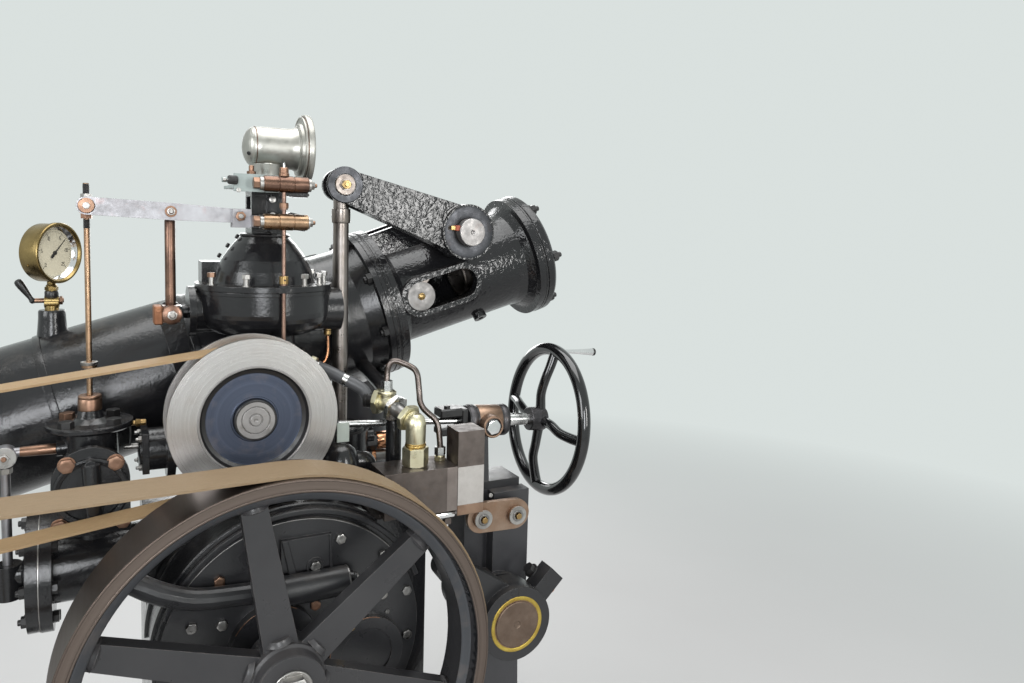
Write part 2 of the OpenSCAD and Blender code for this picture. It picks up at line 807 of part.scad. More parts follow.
module yoke() {
    arm_gap = 60;
    rib_t = 16;
    flange_t = 24;
    flange_s = yoke_len - 50;
    window = [[0, crosshead_s - 3], [0, crosshead_s + 113]];
    color(black)
        difference() {
            union() {
                on_nozzle(0)
                    rotate_extrude()
                        polygon([[0, seat], [joint_r, seat], [joint_r, flange_t],
                            [yoke_r + 26, flange_t], [yoke_r + 9, 36], [yoke_r, 54],
                            [yoke_r, flange_s - 40], [yoke_r + 5, flange_s - 18],
                            [yoke_r + 20, flange_s], [end_cover_r, flange_s],
                            [end_cover_r, flange_s + flange_t], [0, flange_s + flange_t]]);
                along_y(shaft_x, shaft_z, rocker_back + 5, nozzle_y + 110, 52);
                on_nozzle(0)
                    rotate([90, 0, 0])
                        linear_extrude(height = 2 * yoke_r + 12, center = true)
                            link_outline(window[0], window[1], crosshead_r + 14, crosshead_r + 14);
                for (y = [-arm_gap / 2, arm_gap / 2 + rib_t])
                    on_nozzle(0)
                        translate([0, y, 0])
                            rotate([90, 0, 0])
                                linear_extrude(height = rib_t)
                                    polygon([[-yoke_r + 20, 12], [-joint_r + 12, 12],
                                        [-shaft_n - 50, shaft_s - 22], [-shaft_n, shaft_s + 20],
                                        [-yoke_r + 20, shaft_s + 20]]);
                on_nozzle(248)
                    rotate([0, 0, -31])
                        rotate([0, 90, 0])
                            cylinder(h = yoke_r + 13, r = 17);
            }
            on_nozzle(12)
                cylinder(h = yoke_len, r = yoke_r - yoke_wall);
            on_nozzle(0)
                rotate([90, 0, 0])
                    linear_extrude(height = 400, center = true)
                        link_outline(window[0], window[1], crosshead_r + run, crosshead_r + run);
            on_nozzle(248)
                rotate([0, 0, -31])
                    rotate([0, 90, 0])
                        cylinder(h = yoke_r + 20, r = 7);
            on_nozzle(60)
                translate([-yoke_r - 60, -arm_gap / 2, 0])
                    cube([150, arm_gap, 235]);
            along_y(shaft_x, shaft_z, 0, nozzle_y + 200, shaft_r + run);
        }
}

module end_cover() {
    color(black)
        on_nozzle(yoke_len - 26)
            rotate_extrude()
                polygon([[0, 0], [end_cover_r - 3, 0], [end_cover_r, 4], [end_cover_r, 20],
                    [end_cover_r - 5, 26], [120, 32], [60, 36], [0, 36]]);
}

module cross_shaft() {
    color(steel)
        difference() {
            union() {
                along_y(shaft_x, shaft_z, rocker_front - 4, nozzle_y + 118, shaft_r);
                on_nozzle(0)
                    rotate([90, 0, 0])
                        linear_extrude(height = 50, center = true)
                            link_outline([-shaft_n, shaft_s], [0, crosshead_s], 46, 30);
            }
            on_nozzle(0)
                rotate([90, 0, 0])
                    linear_extrude(height = 60, center = true)
                        link_outline([6, crosshead_s - 6], [-fork_travel, crosshead_s + fork_travel],
                            fork_pin_r + fork_play, fork_pin_r + fork_play);
        }
}

module crosshead() {
    color([0.66, 0.70, 0.75])
        on_nozzle(0) {
            translate([0, 0, crosshead_s])
                rotate([90, 0, 0]) {
                    cylinder(h = yoke_r, r = fork_pin_r);
                    translate([0, 0, yoke_r - 14])
                        cylinder(h = 14, r = crosshead_r);
                    rotate([180, 0, 0])
                        cylinder(h = yoke_r - 10, r = fork_pin_r);
                }
        }
}

module rocking_lever() {
    eye = [eye_x, eye_z];
    hub = [shaft_x, shaft_z];
    color(black)
        difference() {
            union() {
                along_y(shaft_x, shaft_z, rocker_front, rocker_back, lever_boss_r);
                plate_xz(rocker_front + 8, rocker_back - 8)
                    link_outline(eye, hub, eye_r, lever_boss_r - 8);
                along_y(eye_x, eye_z, rocker_front, rocker_back, eye_r);
            }
            along_y(shaft_x, shaft_z, rocker_front - 10, rocker_back + 10, shaft_r);
            box([eye_x - 80, servo_y - servo_rod_r - 5, eye_z - 90],
                [eye_x + 55, servo_y + servo_rod_r + 5, eye_z + 80]);
            along_y(eye_x, eye_z, rocker_front - 10, rocker_back + 10, 12 + seat);
        }
}

module servo_rod() {
    color(steel)
        difference() {
            union() {
                along_z(eye_x, servo_y, servo_rod_foot, eye_z, servo_rod_r);
                along_y(eye_x, eye_z, servo_y - servo_rod_r, servo_y + servo_rod_r, 26);
                along_y(eye_x, eye_z, rocker_front - 6, rocker_back + 4, 12);
            }
        }
}

module servo_cylinder() {
    height = 105;
    slot = servo_rod_r + 26;
    sx = eye_x - 8;
    color(black) {
        translate([sx, servo_y, tank_top])
            rotate_extrude()
                polygon([[slot, 0], [72, 0], [72, height], [62, height], [62, height + 8],
                    [slot, height + 8]]);
        for (port = [[79, 84], [32, 80]])
            along_x(servo_y, tank_top + port[0], sx + 58, sx + port[1], 20);
    }
}

module gauge_stub() {
    axis_z = nozzle_z - (nozzle_x - gauge_x) * tan(nozzle_tilt);
    top = 1247;
    color(black)
        difference() {
            translate([gauge_x, nozzle_y, axis_z])
                cylinder(h = top - axis_z, r1 = 38, r2 = 24);
            on_nozzle(-pipe_len)
                cylinder(h = pipe_len, r = pipe_r);
        }
}

module gauge_cock() {
    y = nozzle_y;
    color(brass)
        difference() {
            union() {
                along_z(gauge_x, y, 1247, 1256, 13);
                along_z(gauge_x, y, 1256, 1282, 8);
                along_z(gauge_x, y, 1278, 1294, 11);
                along_z(gauge_x, y, 1290, gauge_z - gauge_r + 2, 8);
                along_x(y, 1267, gauge_x - 13, gauge_x + 13, 10);
            }
            along_x(y, 1267, gauge_x - 40, gauge_x + 40, 5 + run);
            translate([gauge_x, y, gauge_z])
                rotate([0, 0, 40.8])
                    rotate([90, 0, 0])
                        cylinder(h = gauge_t, r = gauge_r - 2, center = true);
        }
}

module cock_handle() {
    y = nozzle_y;
    color(black) {
        along_x(y, 1267, gauge_x - 42, gauge_x + 22, 5);
        along_x(y, 1267, gauge_x + 14, gauge_x + 21, 9);
        translate([gauge_x - 42, y, 1267])
            rotate([0, -32, 0]) {
                cylinder(h = 60, r1 = 5, r2 = 8);
                sphere(r = 8);
            }
    }
}

module gauge_case() {
    color(brass)
        translate([gauge_x, nozzle_y, gauge_z])
            rotate([0, 0, 40.8])
                rotate([90, 0, 0])
                    translate([0, 0, -gauge_t / 2])
                        rotate_extrude()
                            polygon([[0, 0], [gauge_r - 4, 0], [gauge_r - 2, 3],
                                [gauge_r - 2, gauge_t - 8], [gauge_r, gauge_t - 8],
                                [gauge_r, gauge_t], [gauge_r - 6, gauge_t],
                                [gauge_r - 7, gauge_t - 5], [0, gauge_t - 5]]);
}

module flanged_pulley(x, z, front, seat_r, flange_r, w, bore) {
    translate([x, front + w, z])
        rotate([90, 0, 0])
            rotate_extrude()
                polygon([[bore, 12], [34, 12], [34, 26], [seat_r - 33, 26], [seat_r - 22, 0],
                    [flange_r, 0], [flange_r, narrow_flange_t], [seat_r, narrow_flange_t],
                    [seat_r, w - narrow_flange_t], [flange_r, w - narrow_flange_t],
                    [flange_r, w], [seat_r - 32, w], [seat_r - 33, w - 14], [34, w - 14],
                    [32, w - 2], [bore, w - 2]]);
}

module governor_pulley() {
    color(steel) {
        flanged_pulley(gov_pulley_x, gov_pulley_z, gov_pulley_front, gov_seat_r, gov_flange_r,
            gov_pulley_w, 0);
        along_y(gov_pulley_x, gov_pulley_z, gov_pulley_back - 14, gov_y - 10, 15);
    }
}

module big_wheel() {
    hub_r = 62;
    edge_t = rim_t / 2;
    color([0.36, 0.30, 0.27]) {
        translate([wheel_x, wheel_back, wheel_z])
            rotate([90, 0, 0])
                rotate_extrude()
                    polygon([[wheel_r, 0], [wheel_r, wheel_w], [wheel_r - edge_t, wheel_w],
                        [wheel_r - edge_t - 4, wheel_w - 22], [wheel_r - rim_t, wheel_w - 28],
                        [wheel_r - rim_t, 28], [wheel_r - edge_t - 4, 22],
                        [wheel_r - edge_t, 0]]);
        translate([wheel_x, wheel_back - 8, wheel_z])
            rotate([90, 0, 0])
                rotate_extrude()
                    polygon([[0, 0], [hub_r - 6, 0], [hub_r - 6, 26], [hub_r, 34],
                        [hub_r, wheel_w - 50], [hub_r - 6, wheel_w - 42],
                        [hub_r - 6, wheel_w - 16], [0, wheel_w - 16]]);
        for (k = [0 : spokes - 1])
            translate([wheel_x, wheel_mid_y + 14, wheel_z])
                rotate([90, 80 + k * 360 / spokes, 0])
                    linear_extrude(height = 28)
                        polygon([[hub_r - 10, -29], [wheel_r - rim_t + 6, -21],
                            [wheel_r - rim_t + 6, 21], [hub_r - 10, 29]]);
        along_y(wheel_x, wheel_z, wheel_back - 8, housing_front + 80, wheel_shaft_r);
    }
}

// Points of an arc from angle a0 to a1 about a centre.
function arc_points(c, r, a0, a1, n) =
    [for (i = [0 : n]) let (a = a0 + (a1 - a0) * i / n) c + r * [cos(a), sin(a)]];

// The closed line that runs round two circles of radius ra and rb.
function loop_points(a, b, ra, rb) =
    let (d = norm(b - a), t = acos((ra - rb) / d), w = atan2(b[1] - a[1], b[0] - a[0]))
    concat(arc_points(a, ra, w + t, w + 360 - t, 48), arc_points(b, rb, w - t, w + t, 36));

// Outline of a belt loop, given the radius of its inner face on each pulley. Both lines
// stand a little outwards so that their flats clear the round seats.
module belt_outline(a, b, ra, rb, t) {
    flat = 1 / cos(2.8);
    difference() {
        polygon(loop_points(a, b, (ra + t) * flat, (rb + t) * flat));
        polygon(loop_points(a, b, ra * flat, rb * flat));
    }
}

module wide_belt() {
    color(belt_tan)
        plate_xz(wide_belt_y, wide_belt_y + wide_belt_w)
            belt_outline([wheel_x, wheel_z], [drive_x, drive_z], wheel_belt_r,
                drive_wide_belt_r, belt_t);
}

module narrow_belt() {
    color(belt_tan)
        plate_xz(narrow_belt_y, narrow_belt_y + narrow_belt_w)
            belt_outline([gov_pulley_x, gov_pulley_z], [drive_x, drive_z], gov_belt_r,
                drive_narrow_belt_r, belt_t);
}

module drive_shaft() {
    color(steel)
        along_y(drive_x, drive_z, wheel_front - 8, 40, drive_shaft_r);
}

module drive_drum() {
    color(black)
        difference() {
            along_y(drive_x, drive_z, wheel_front + 4, wheel_front + 106, drive_wide_r);
            along_y(drive_x, drive_z, wheel_front, wheel_front + 110, drive_shaft_r);
        }
}

module drive_pulley() {
    color(black)
        flanged_pulley(drive_x, drive_z, gov_pulley_front, drive_narrow_r, drive_narrow_r + 16,
            gov_pulley_w, drive_shaft_r);
}

module drive_pedestal() {
    color(black)
        difference() {
            union() {
                for (y = [gov_pulley_front - 78, gov_pulley_back + 16]) {
                    plate_xz(y + 12, y + 48)
                        polygon([[drive_x - 120, 20], [drive_x + 120, 20], [drive_x + 44, drive_z],
                            [drive_x - 44, drive_z]]);
                    along_y(drive_x, drive_z, y, y + 60, drive_bearing_r);
                }
                box([drive_x - 170, -260, 0], [drive_x + 170, 40, base_t]);
            }
            for (x = [drive_x - 145, drive_x + 145])
                for (y = [-235, 15])
                    along_z(x, y, -1, base_t + 1, base_hole_r);
            along_y(drive_x, drive_z, -300, 60, drive_shaft_r + run);
            plate_xz(-300, 60)
                polygon([[drive_x - 75, 90], [drive_x + 75, 90], [drive_x + 42, 520],
                    [drive_x - 42, 520]]);
        }
}

module valve_block() {
    color([0.42, 0.38, 0.35]) {
        difference() {
            box([block_left, block_front, block_z],
                [block_left + block_len, block_front + block_d, block_z + block_h]);
            along_x(block_front + 20, block_z + 2, block_left - 1, bar_x, 11);
        }
    }
}

module guide_bar() {
    lo = [bar_x, block_front, block_z - 12];
    color([0.60, 0.58, 0.55]) {
        box(lo, [bar_x + bar_w, block_front + 60, lo[2] + bar_h]);
        box([bar_x, block_front + 60, lo[2] - 40], [bar_x + 14, block_front + 76, lo[2] + 60]);
        along_x(block_front + 20, block_z + 2 - 14, block_left + 100, bar_x, 9);
    }
}

// A point on the axis of the boss that the pressure line ends at, that far outside it.
function line_point(out) =
    [gov_x + (line_boss_r + out) * cos(line_turn), gov_y + (line_boss_r + out) * sin(line_turn),
        line_end_z - out / 10];

module pressure_line() {
    nut_x = block_left + 73;
    nut_y = block_front + 42;
    color(zinc) {
        along_z(nut_x, nut_y, block_top, block_top + 34, 19);
        along_z(nut_x, nut_y, block_top + 34, block_top + 52, 16);
        along_z(tee[0], tee[1], tee[2], tee[2] + 20, 11);
        bent_tube([[nut_x, nut_y, block_top + 52], [nut_x - 8, nut_y + 10, block_top + 92],
            tee, tee + [-31, 26, 12], [110, 0, (tee[2] + 12 + line_end_z) / 2 + 5],
            line_point(34), line_point(1)],
            13, 4, [0.7, 0.7, 0]);
    }
}

module steel_tube() {
    foot = [290, -124, block_top];
    color(steel) {
        bent_tube([tee + [0, 0, 30], tee + [0, 0, 62], tee + [6, 2, 84], tee + [44, 8, 80],
            tee + [56, 6, 52], tee + [66, 0, 4], foot + [-6, 12, 79], foot + [0, 0, 51],
            foot + [0, 0, 26]], 5, 4, [0, 1, 0.1], 12);
        along_z(foot[0], foot[1], foot[2], foot[2] + 26, 11);
        along_z(tee[0], tee[1], tee[2] + 20, tee[2] + 32, 10);
    }
}

module hand_bearing() {
    color(black) {
        difference() {
            union() {
                on_hand(-213)
                    cylinder(h = 100, r = 34);
                translate([398, 0, 0])
                    rotate([90, 0, 90])
                        linear_extrude(height = 46)
                            polygon([[-44, 862], [44, 862], [31, hand_z + 16], [-31, hand_z + 16]]);
                box([385, -45, 858], [520, 45, 876]);
            }
            on_hand(-300)
                cylinder(h = 400, r = hand_shaft_r + run);
        }
        along_y(446, hand_z + 8, -52, -28, 24);
    }
}

module handwheel() {
    color([0.04, 0.04, 0.045])
        on_hand(0) {
            rotate_extrude()
                translate([hand_r, 0])
                    circle(r = hand_rim_r);
            translate([0, 0, -52])
                cylinder(h = 64, r = 27);
            for (k = [0 : hand_spokes - 1])
                rotate([0, 0, 18 + k * 360 / hand_spokes])
                    bent_tube([[16, 0, -26], [44, -3, -27], [96, 3, -22], [hand_r, 0, 0]],
                        9.5, 3, [0, 1, 0], 12);
            translate([0, 0, -218])
                cylinder(h = 200, r = hand_shaft_r);
            translate([0, 0, -535])
                cylinder(h = 330, r = 7);
            rotate([0, 0, 180])
                translate([hand_r, 0, 6])
                    cylinder(h = 85, r1 = 6, r2 = 11);
        }
}

module spindle_bracket() {
    color(black)
        difference() {
            union() {
                box([76, arch_back + 2, tank_top], [104, 26, 1050]);
                on_hand(-545)
                    cylinder(h = 38, r = 22);
            }
            on_hand(-536)
                cylinder(h = 80, r = 7 + run);
        }
}

module regulating_stand() {
    color(black)
        difference() {
            union() {
                plate_xz(-90, 60)
                    polygon([[reg_x - 96, bed_h], [reg_x + 96, bed_h], [reg_x + 90, bed_h + 36],
                        [reg_x + 62, bed_h + 60], [reg_x + 50, reg_z], [reg_x - 50, reg_z],
                        [reg_x - 62, bed_h + 60], [reg_x - 90, bed_h + 36]]);
                along_y(reg_x, reg_z, -90, 60, reg_r + 22);
                box([reg_x - 10, -76, reg_z], [reg_x + 78, -40, 858]);
                box([385, -45, reg_z + 40], [reg_x + 69, 45, 858]);
            }
            along_y(reg_x, reg_z, -100, 70, reg_r);
        }
}

module regulating_shaft() {
    color([0.45, 0.36, 0.28])
        along_y(reg_x, reg_z, reg_front, 90, reg_r);
}

module clamp_lever() {
    color(black)
        difference() {
            union() {
                along_y(reg_x, reg_z, reg_front, reg_front + 70, clamp_r);
                plate_xz(reg_front + 20, reg_front + 56)
                    link_outline([reg_x, reg_z], [300, 745], 60, 26);
                translate([reg_x + 84, reg_front + 35, reg_z + 66])
                    rotate([0, 45, 0])
                        cube([44, 40, 60], center = true);
            }
            along_y(reg_x, reg_z, reg_front - 1, reg_front + 100, reg_r);
        }
}

module link_plate() {
    y0 = block_front + 76;
    pins = [[393, block_z - 52], [475, block_z - 55]];
    color([0.66, 0.48, 0.36]) {
        plate_xz(y0 - 12, y0)
            link_outline(pins[0], pins[1], 33, 33);
        for (p = pins)
            along_y(p[0], p[1], y0 - 20, y0 - 12, 21);
        along_y(pins[0][0], pins[0][1], y0, y0 + 24, 12);
        along_y(pins[1][0], pins[1][1], y0, -76, 12);
    }
}

bed_frame();
pump_housing();
pump_cover();
suction_arm();
governor_pedestal();
governor_bowl();
governor_dome();
slotted_column();
adjuster_bracket();
upper_roller();
speeder_rod();
tachometer_body();
tachometer_bezel();
slider_fork();
lower_roller();
floating_lever();
valve_rod();
fulcrum_link();
return_arm();
valve_body();
valve_cap();
relay_cylinder();
relay_link();
nozzle_pipe();
pipe_saddle();
nozzle_leg();
yoke();
end_cover();
cross_shaft();
crosshead();
rocking_lever();
servo_rod();
servo_cylinder();
gauge_stub();
gauge_cock();
cock_handle();
gauge_case();
governor_pulley();
big_wheel();
wide_belt();
narrow_belt();
drive_shaft();
drive_drum();
drive_pulley();
drive_pedestal();
valve_block();
guide_bar();
pressure_line();
steel_tube();
hand_bearing();
handwheel();
spindle_bracket();
regulating_stand();
regulating_shaft();
clamp_lever();
link_plate();
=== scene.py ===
"""Looks of a belt-driven water turbine governor with its nozzle pipe.

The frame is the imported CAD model: origin on the floor under the governor column, +X along the
belts towards the handwheel, +Y back to the nozzle pipe, +Z up. Places below are written in
millimetres of that frame and turned into metres by P().
"""

import json
from math import asin, cos, pi, radians, sin, tau

import bmesh
import bpy
from mathutils import Matrix, Vector


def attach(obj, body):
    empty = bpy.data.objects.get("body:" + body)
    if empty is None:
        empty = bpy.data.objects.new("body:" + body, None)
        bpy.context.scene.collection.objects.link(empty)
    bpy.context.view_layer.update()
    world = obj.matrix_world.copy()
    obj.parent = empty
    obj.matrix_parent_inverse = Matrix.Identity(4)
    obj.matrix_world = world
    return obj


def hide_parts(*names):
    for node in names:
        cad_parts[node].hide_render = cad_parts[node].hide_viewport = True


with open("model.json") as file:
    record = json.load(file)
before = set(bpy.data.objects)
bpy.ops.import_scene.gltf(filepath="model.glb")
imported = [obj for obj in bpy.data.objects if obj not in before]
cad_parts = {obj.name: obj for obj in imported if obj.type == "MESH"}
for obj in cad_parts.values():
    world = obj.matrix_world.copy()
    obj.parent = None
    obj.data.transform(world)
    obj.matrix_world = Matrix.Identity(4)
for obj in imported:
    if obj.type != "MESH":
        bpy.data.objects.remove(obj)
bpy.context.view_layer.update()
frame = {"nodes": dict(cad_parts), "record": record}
nodes = frame["nodes"]

MM = 0.001
X = Vector((1, 0, 0))
Y = Vector((0, 1, 0))
Z = Vector((0, 0, 1))


def P(x, y, z):
    """A point given in millimetres of the frame."""
    return Vector((x, y, z)) * MM


# ---------------------------------------------------------------- main places, millimetres
WHEEL = (-55, 680)
WHEEL_FRONT = -350
COVER = (-12, 668)
COVER_FRONT = -180
PULLEY = (-78, 1087)
PULLEY_FRONT = -148
GOV = (-21, 80)
BOWL_R = 131
BOWL_TOP = 1307
DOME_FLANGE_T = 11
DOME_TOP = BOWL_TOP + DOME_FLANGE_T + 95
COLUMN_TOP = DOME_TOP + 93
SPEEDER = (-12, -62)
TACH_Z = 1592
NOZZLE = (275, 300, 1247)
TILT = radians(16.6)
PIPE_R = 150
JOINT_R = 178
YOKE_R = 120
YOKE_LEN = 451
SHAFT = (444, 1430)
EYE = (150, 1526)
ROCKER_FRONT = 95
VALVE = (-341, 34)
CAP_TOP = 1068
RELAY = (20, 805)
HAND = (613, 0, 994)
HAND_TILT = radians(3.8)
HAND_R = 165
REG = (451, 604)
GAUGE = (-409, 300, 1366)
GAUGE_TURN = radians(51)
DIAL_START = 225  # degrees at which the divisions of both dials begin
KNOB = (-94, -55.5, 1518)
DRIVE = (-1078, 957)


# ---------------------------------------------------------------- materials
class Graph:
    """A node material under construction. Values may be numbers, colours or sockets."""

    def __init__(self, name="finish"):
        self.mat = bpy.data.materials.new(name)
        self.mat.use_nodes = True
        self.tree = self.mat.node_tree
        self.tree.nodes.clear()
        self.out = self.tree.nodes.new("ShaderNodeOutputMaterial")
        self.bsdf = self.tree.nodes.new("ShaderNodeBsdfPrincipled")
        self.link(self.bsdf.outputs[0], self.out.inputs[0])
        self.coords = self.tree.nodes.new("ShaderNodeTexCoord").outputs["Object"]

    def link(self, a, b):
        self.tree.links.new(a, b)

    def put(self, socket, value):
        if isinstance(value, bpy.types.NodeSocket):
            self.link(value, socket)
        elif isinstance(value, tuple) and len(value) == 3 and socket.type == "RGBA":
            socket.default_value = (*value, 1)
        else:
            socket.default_value = value

    def set(self, **values):
        """Values of the shader's own sockets, with _ for a space."""
        for name, value in values.items():
            self.put(self.bsdf.inputs[name.replace("_", " ")], value)
        return self

    def node(self, kind, **values):
        n = self.tree.nodes.new("ShaderNode" + kind)
        for name, value in values.items():
            setattr(n, name, value)
        return n

    def stretch(self, scale, source=None):
        n = self.node("Mapping")
        self.put(n.inputs["Vector"], source or self.coords)
        n.inputs["Scale"].default_value = scale
        return n.outputs[0]

    def noise(self, scale, detail=4, rough=0.55, source=None, bend=0.0):
        n = self.node("TexNoise")
        self.put(n.inputs["Vector"], source or self.coords)
        n.inputs["Scale"].default_value = scale
        n.inputs["Detail"].default_value = detail
        n.inputs["Roughness"].default_value = rough
        n.inputs["Distortion"].default_value = bend
        return n.outputs["Fac"]

    def fit(self, value, low, high, to_low=0.0, to_high=1.0):
        n = self.node("MapRange")
        self.put(n.inputs["Value"], value)
        for name, v in (("From Min", low), ("From Max", high), ("To Min", to_low), ("To Max", to_high)):
            n.inputs[name].default_value = v
        return n.outputs[0]

    def math(self, operation, a, b=0.0):
        n = self.node("Math", operation=operation)
        self.put(n.inputs[0], a)
        self.put(n.inputs[1], b)
        return n.outputs[0]

    def mix(self, factor, a, b):
        n = self.node("Mix", data_type="RGBA")
        self.put(n.inputs["Factor"], factor)
        self.put(n.inputs[6], a)
        self.put(n.inputs[7], b)
        return n.outputs[2]

    def bump(self, height, strength, distance=0.001, under=None):
        n = self.node("Bump")
        self.put(n.inputs["Height"], height)
        n.inputs["Strength"].default_value = strength
        n.inputs["Distance"].default_value = distance
        if under is not None:
            self.link(under, n.inputs["Normal"])
        return n.outputs[0]

    def rounded(self, radius):
        """Shading that rounds sharp edges, as a cast or filed edge looks."""
        n = self.node("Bevel", samples=4)
        n.inputs["Radius"].default_value = radius
        return n.outputs[0]

    def edge(self, radius, low=0.02, high=0.25):
        """0 on flats, up to 1 on edges, where finish wears off first."""
        geometry = self.node("NewGeometry")
        dot = self.node("VectorMath", operation="DOT_PRODUCT")
        self.link(self.rounded(radius), dot.inputs[0])
        self.link(geometry.outputs["Normal"], dot.inputs[1])
        return self.fit(self.math("SUBTRACT", 1.0, dot.outputs["Value"]), low, high)

    def upward(self, low=0.55, high=0.95):
        """0 on walls, 1 on faces that look up, where dust lies."""
        split = self.node("SeparateXYZ")
        self.link(self.node("NewGeometry").outputs["Normal"], split.inputs[0])
        return self.fit(split.outputs["Z"], low, high)

    def around(self, centre, axis):
        """Distance from an axis through centre, in metres, for turned faces."""
        shifted = self.node("VectorMath", operation="SUBTRACT")
        self.put(shifted.inputs[0], self.coords)
        shifted.inputs[1].default_value = centre
        crossed = self.node("VectorMath", operation="CROSS_PRODUCT")
        self.link(shifted.outputs[0], crossed.inputs[0])
        crossed.inputs[1].default_value = axis
        length = self.node("VectorMath", operation="LENGTH")
        self.link(crossed.outputs[0], length.inputs[0])
        return length.outputs["Value"]

    def rings(self, centre, fineness):
        """Fine turning lines round an axis along Y through (x, z) in millimetres."""
        line = self.node("CombineXYZ")
        self.link(self.around(P(centre[0], 0, centre[1]), Y), line.inputs[0])
        return self.noise(fineness, 3, 0.7, line.outputs[0])


def paint(colour, rough=0.22, grain=0.25, grain_scale=260, dust=0.35, wear=0.5, lump=0.0006, detail=4,
        bend=0.0):
    """Old glossy machine paint on a casting: uneven skin, dust on top, worn edges."""
    g = Graph()
    cloud = g.noise(7, 5, 0.6)
    tone = g.mix(cloud, colour, tuple(min(1, c * 2.1 + 0.006) for c in colour))
    smear = g.fit(g.noise(19, 6, 0.65, bend=1.2), 0.42, 0.75)
    dusty = g.math("MULTIPLY", g.upward(), g.math("MULTIPLY", smear, dust))
    tone = g.mix(dusty, tone, (0.17, 0.145, 0.12))
    wear_and_highlight = g.math("MULTIPLY", g.edge(0.0022), g.fit(g.noise(60, 5, 0.7), 0.46, 0.62))
    tone = g.mix(g.math("MULTIPLY", wear_and_highlight, wear), tone, (0.24, 0.21, 0.19))
    g.set(Base_Color=tone)
    shine = g.fit(g.noise(11, 5, 0.6), 0.3, 0.75, rough * 0.75, rough * 1.6)
    g.set(Roughness=g.math("ADD", shine, g.math("MULTIPLY", dusty, 0.45)))
    skin = g.bump(g.noise(38, 3, 0.5), 0.32, 0.0012, g.rounded(0.0018))
    g.set(Specular_IOR_Level=0.5)
    g.set(Normal=g.bump(g.noise(grain_scale, detail, 0.6, bend=bend), grain, lump, skin))
    return g.mat


def bare(colour, dark, rough=0.3, stain=0.5, stain_colour=(0.16, 0.09, 0.05), lines=(1, 1, 1)):
    """Bare metal with uneven tarnish, oily stains and fine tool lines."""
    g = Graph()
    tone = g.mix(g.fit(g.noise(22, 6, 0.6), 0.32, 0.72), dark, colour)
    spots = g.fit(g.noise(46, 7, 0.7, bend=0.8), 0.56, 0.78)
    tone = g.mix(g.math("MULTIPLY", spots, stain), tone, stain_colour)
    tone = g.mix(g.math("MULTIPLY", g.edge(0.0012), 0.35), tone, tuple(min(1, c * 1.35) for c in colour))
    g.set(Base_Color=tone, Metallic=1.0)
    g.set(Roughness=g.fit(g.noise(60, 6, 0.65), 0.3, 0.75, rough * 0.7, rough * 1.5))
    scratch = g.noise(420, 3, 0.6, g.stretch(lines))
    g.set(Normal=g.bump(scratch, 0.10, 0.0004, g.rounded(0.0009)))
    return g.mat


def turned(colour, dark, centre, rough=0.26, fineness=900, strength=0.25):
    """Metal turned round an axis along Y through (x, z): rings in its colour, sheen and skin."""
    g = Graph()
    ring = g.rings(centre, fineness)
    coarse = g.rings(centre, fineness / 7)
    tone = g.mix(g.fit(coarse, 0.25, 0.75), dark, colour)
    cloud = g.fit(g.noise(26, 5, 0.6), 0.5, 0.8)
    tone = g.mix(g.math("MULTIPLY", cloud, 0.25), tone, (0.30, 0.24, 0.20))
    g.set(Base_Color=tone, Metallic=1.0, Roughness=g.fit(ring, 0.2, 0.8, rough * 0.7, rough * 1.5))
    g.set(Normal=g.bump(ring, strength, 0.0003, g.rounded(0.0009)))
    return g.mat


def wheel_iron():
    """The belt wheel: a turned brown rim, dark painted arms and hub."""
    g = Graph()
    away = g.around(P(WHEEL[0], 0, WHEEL[1]), Y)
    rim = g.fit(away, 0.3320, 0.3328)
    ring = g.rings(WHEEL, 700)
    coarse = g.rings(WHEEL, 110)
    bare_tone = g.mix(g.fit(coarse, 0.25, 0.75), (0.105, 0.082, 0.070), (0.185, 0.148, 0.127))
    dark_tone = g.mix(g.noise(9, 5, 0.6), (0.018, 0.018, 0.020), (0.040, 0.039, 0.040))
    wear_and_highlight = g.math("MULTIPLY", g.edge(0.002), g.fit(g.noise(60, 5, 0.7), 0.4, 0.6))
    dark_tone = g.mix(g.math("MULTIPLY", wear_and_highlight, 0.6), dark_tone, (0.22, 0.19, 0.17))
    g.set(Base_Color=g.mix(rim, dark_tone, bare_tone), Metallic=rim)
    g.set(Roughness=g.mix(rim, g.fit(g.noise(13, 5), 0.3, 0.7, 0.24, 0.42),
        g.fit(ring, 0.2, 0.8, 0.26, 0.5)))
    cast = g.bump(g.noise(150, 4, 0.6), 0.22, 0.0005, g.rounded(0.0018))
    g.set(Normal=g.bump(ring, 0.16, 0.0003, cast))
    return g.mat


def leather(colour, dark, direction, rough=0.6):
    """A flat belt: fibres along its run, darker streaks of use, a dull sheen."""
    g = Graph()
    fibre = g.noise(14, 5, 0.6, g.stretch(direction))
    streak = g.noise(70, 4, 0.6, g.stretch(direction))
    tone = g.mix(g.fit(fibre, 0.3, 0.72), dark, colour)
    tone = g.mix(g.math("MULTIPLY", g.fit(streak, 0.5, 0.75), 0.45), tone, tuple(c * 0.62 for c in dark))
    g.set(Base_Color=tone, Roughness=g.fit(streak, 0.3, 0.7, rough * 0.8, rough * 1.15))
    g.set(Normal=g.bump(g.noise(500, 4, 0.6), 0.22, 0.0004))
    return g.mat


def plain(colour, rough, bump_scale=300, bump=0.1, coat=0.0):
    """A small plain piece with a little variation in tone and sheen."""
    g = Graph()
    tone = g.mix(g.noise(35, 5, 0.6), colour, tuple(c * 0.75 for c in colour))
    g.set(Base_Color=tone, Roughness=g.fit(g.noise(80, 5), 0.3, 0.7, rough * 0.8, rough * 1.25))
    g.set(Normal=g.bump(g.noise(bump_scale, 3), bump, 0.0004, g.rounded(0.0008)))
    if coat:
        g.set(Coat_Weight=coat, Coat_Roughness=0.08)
    return g.mat


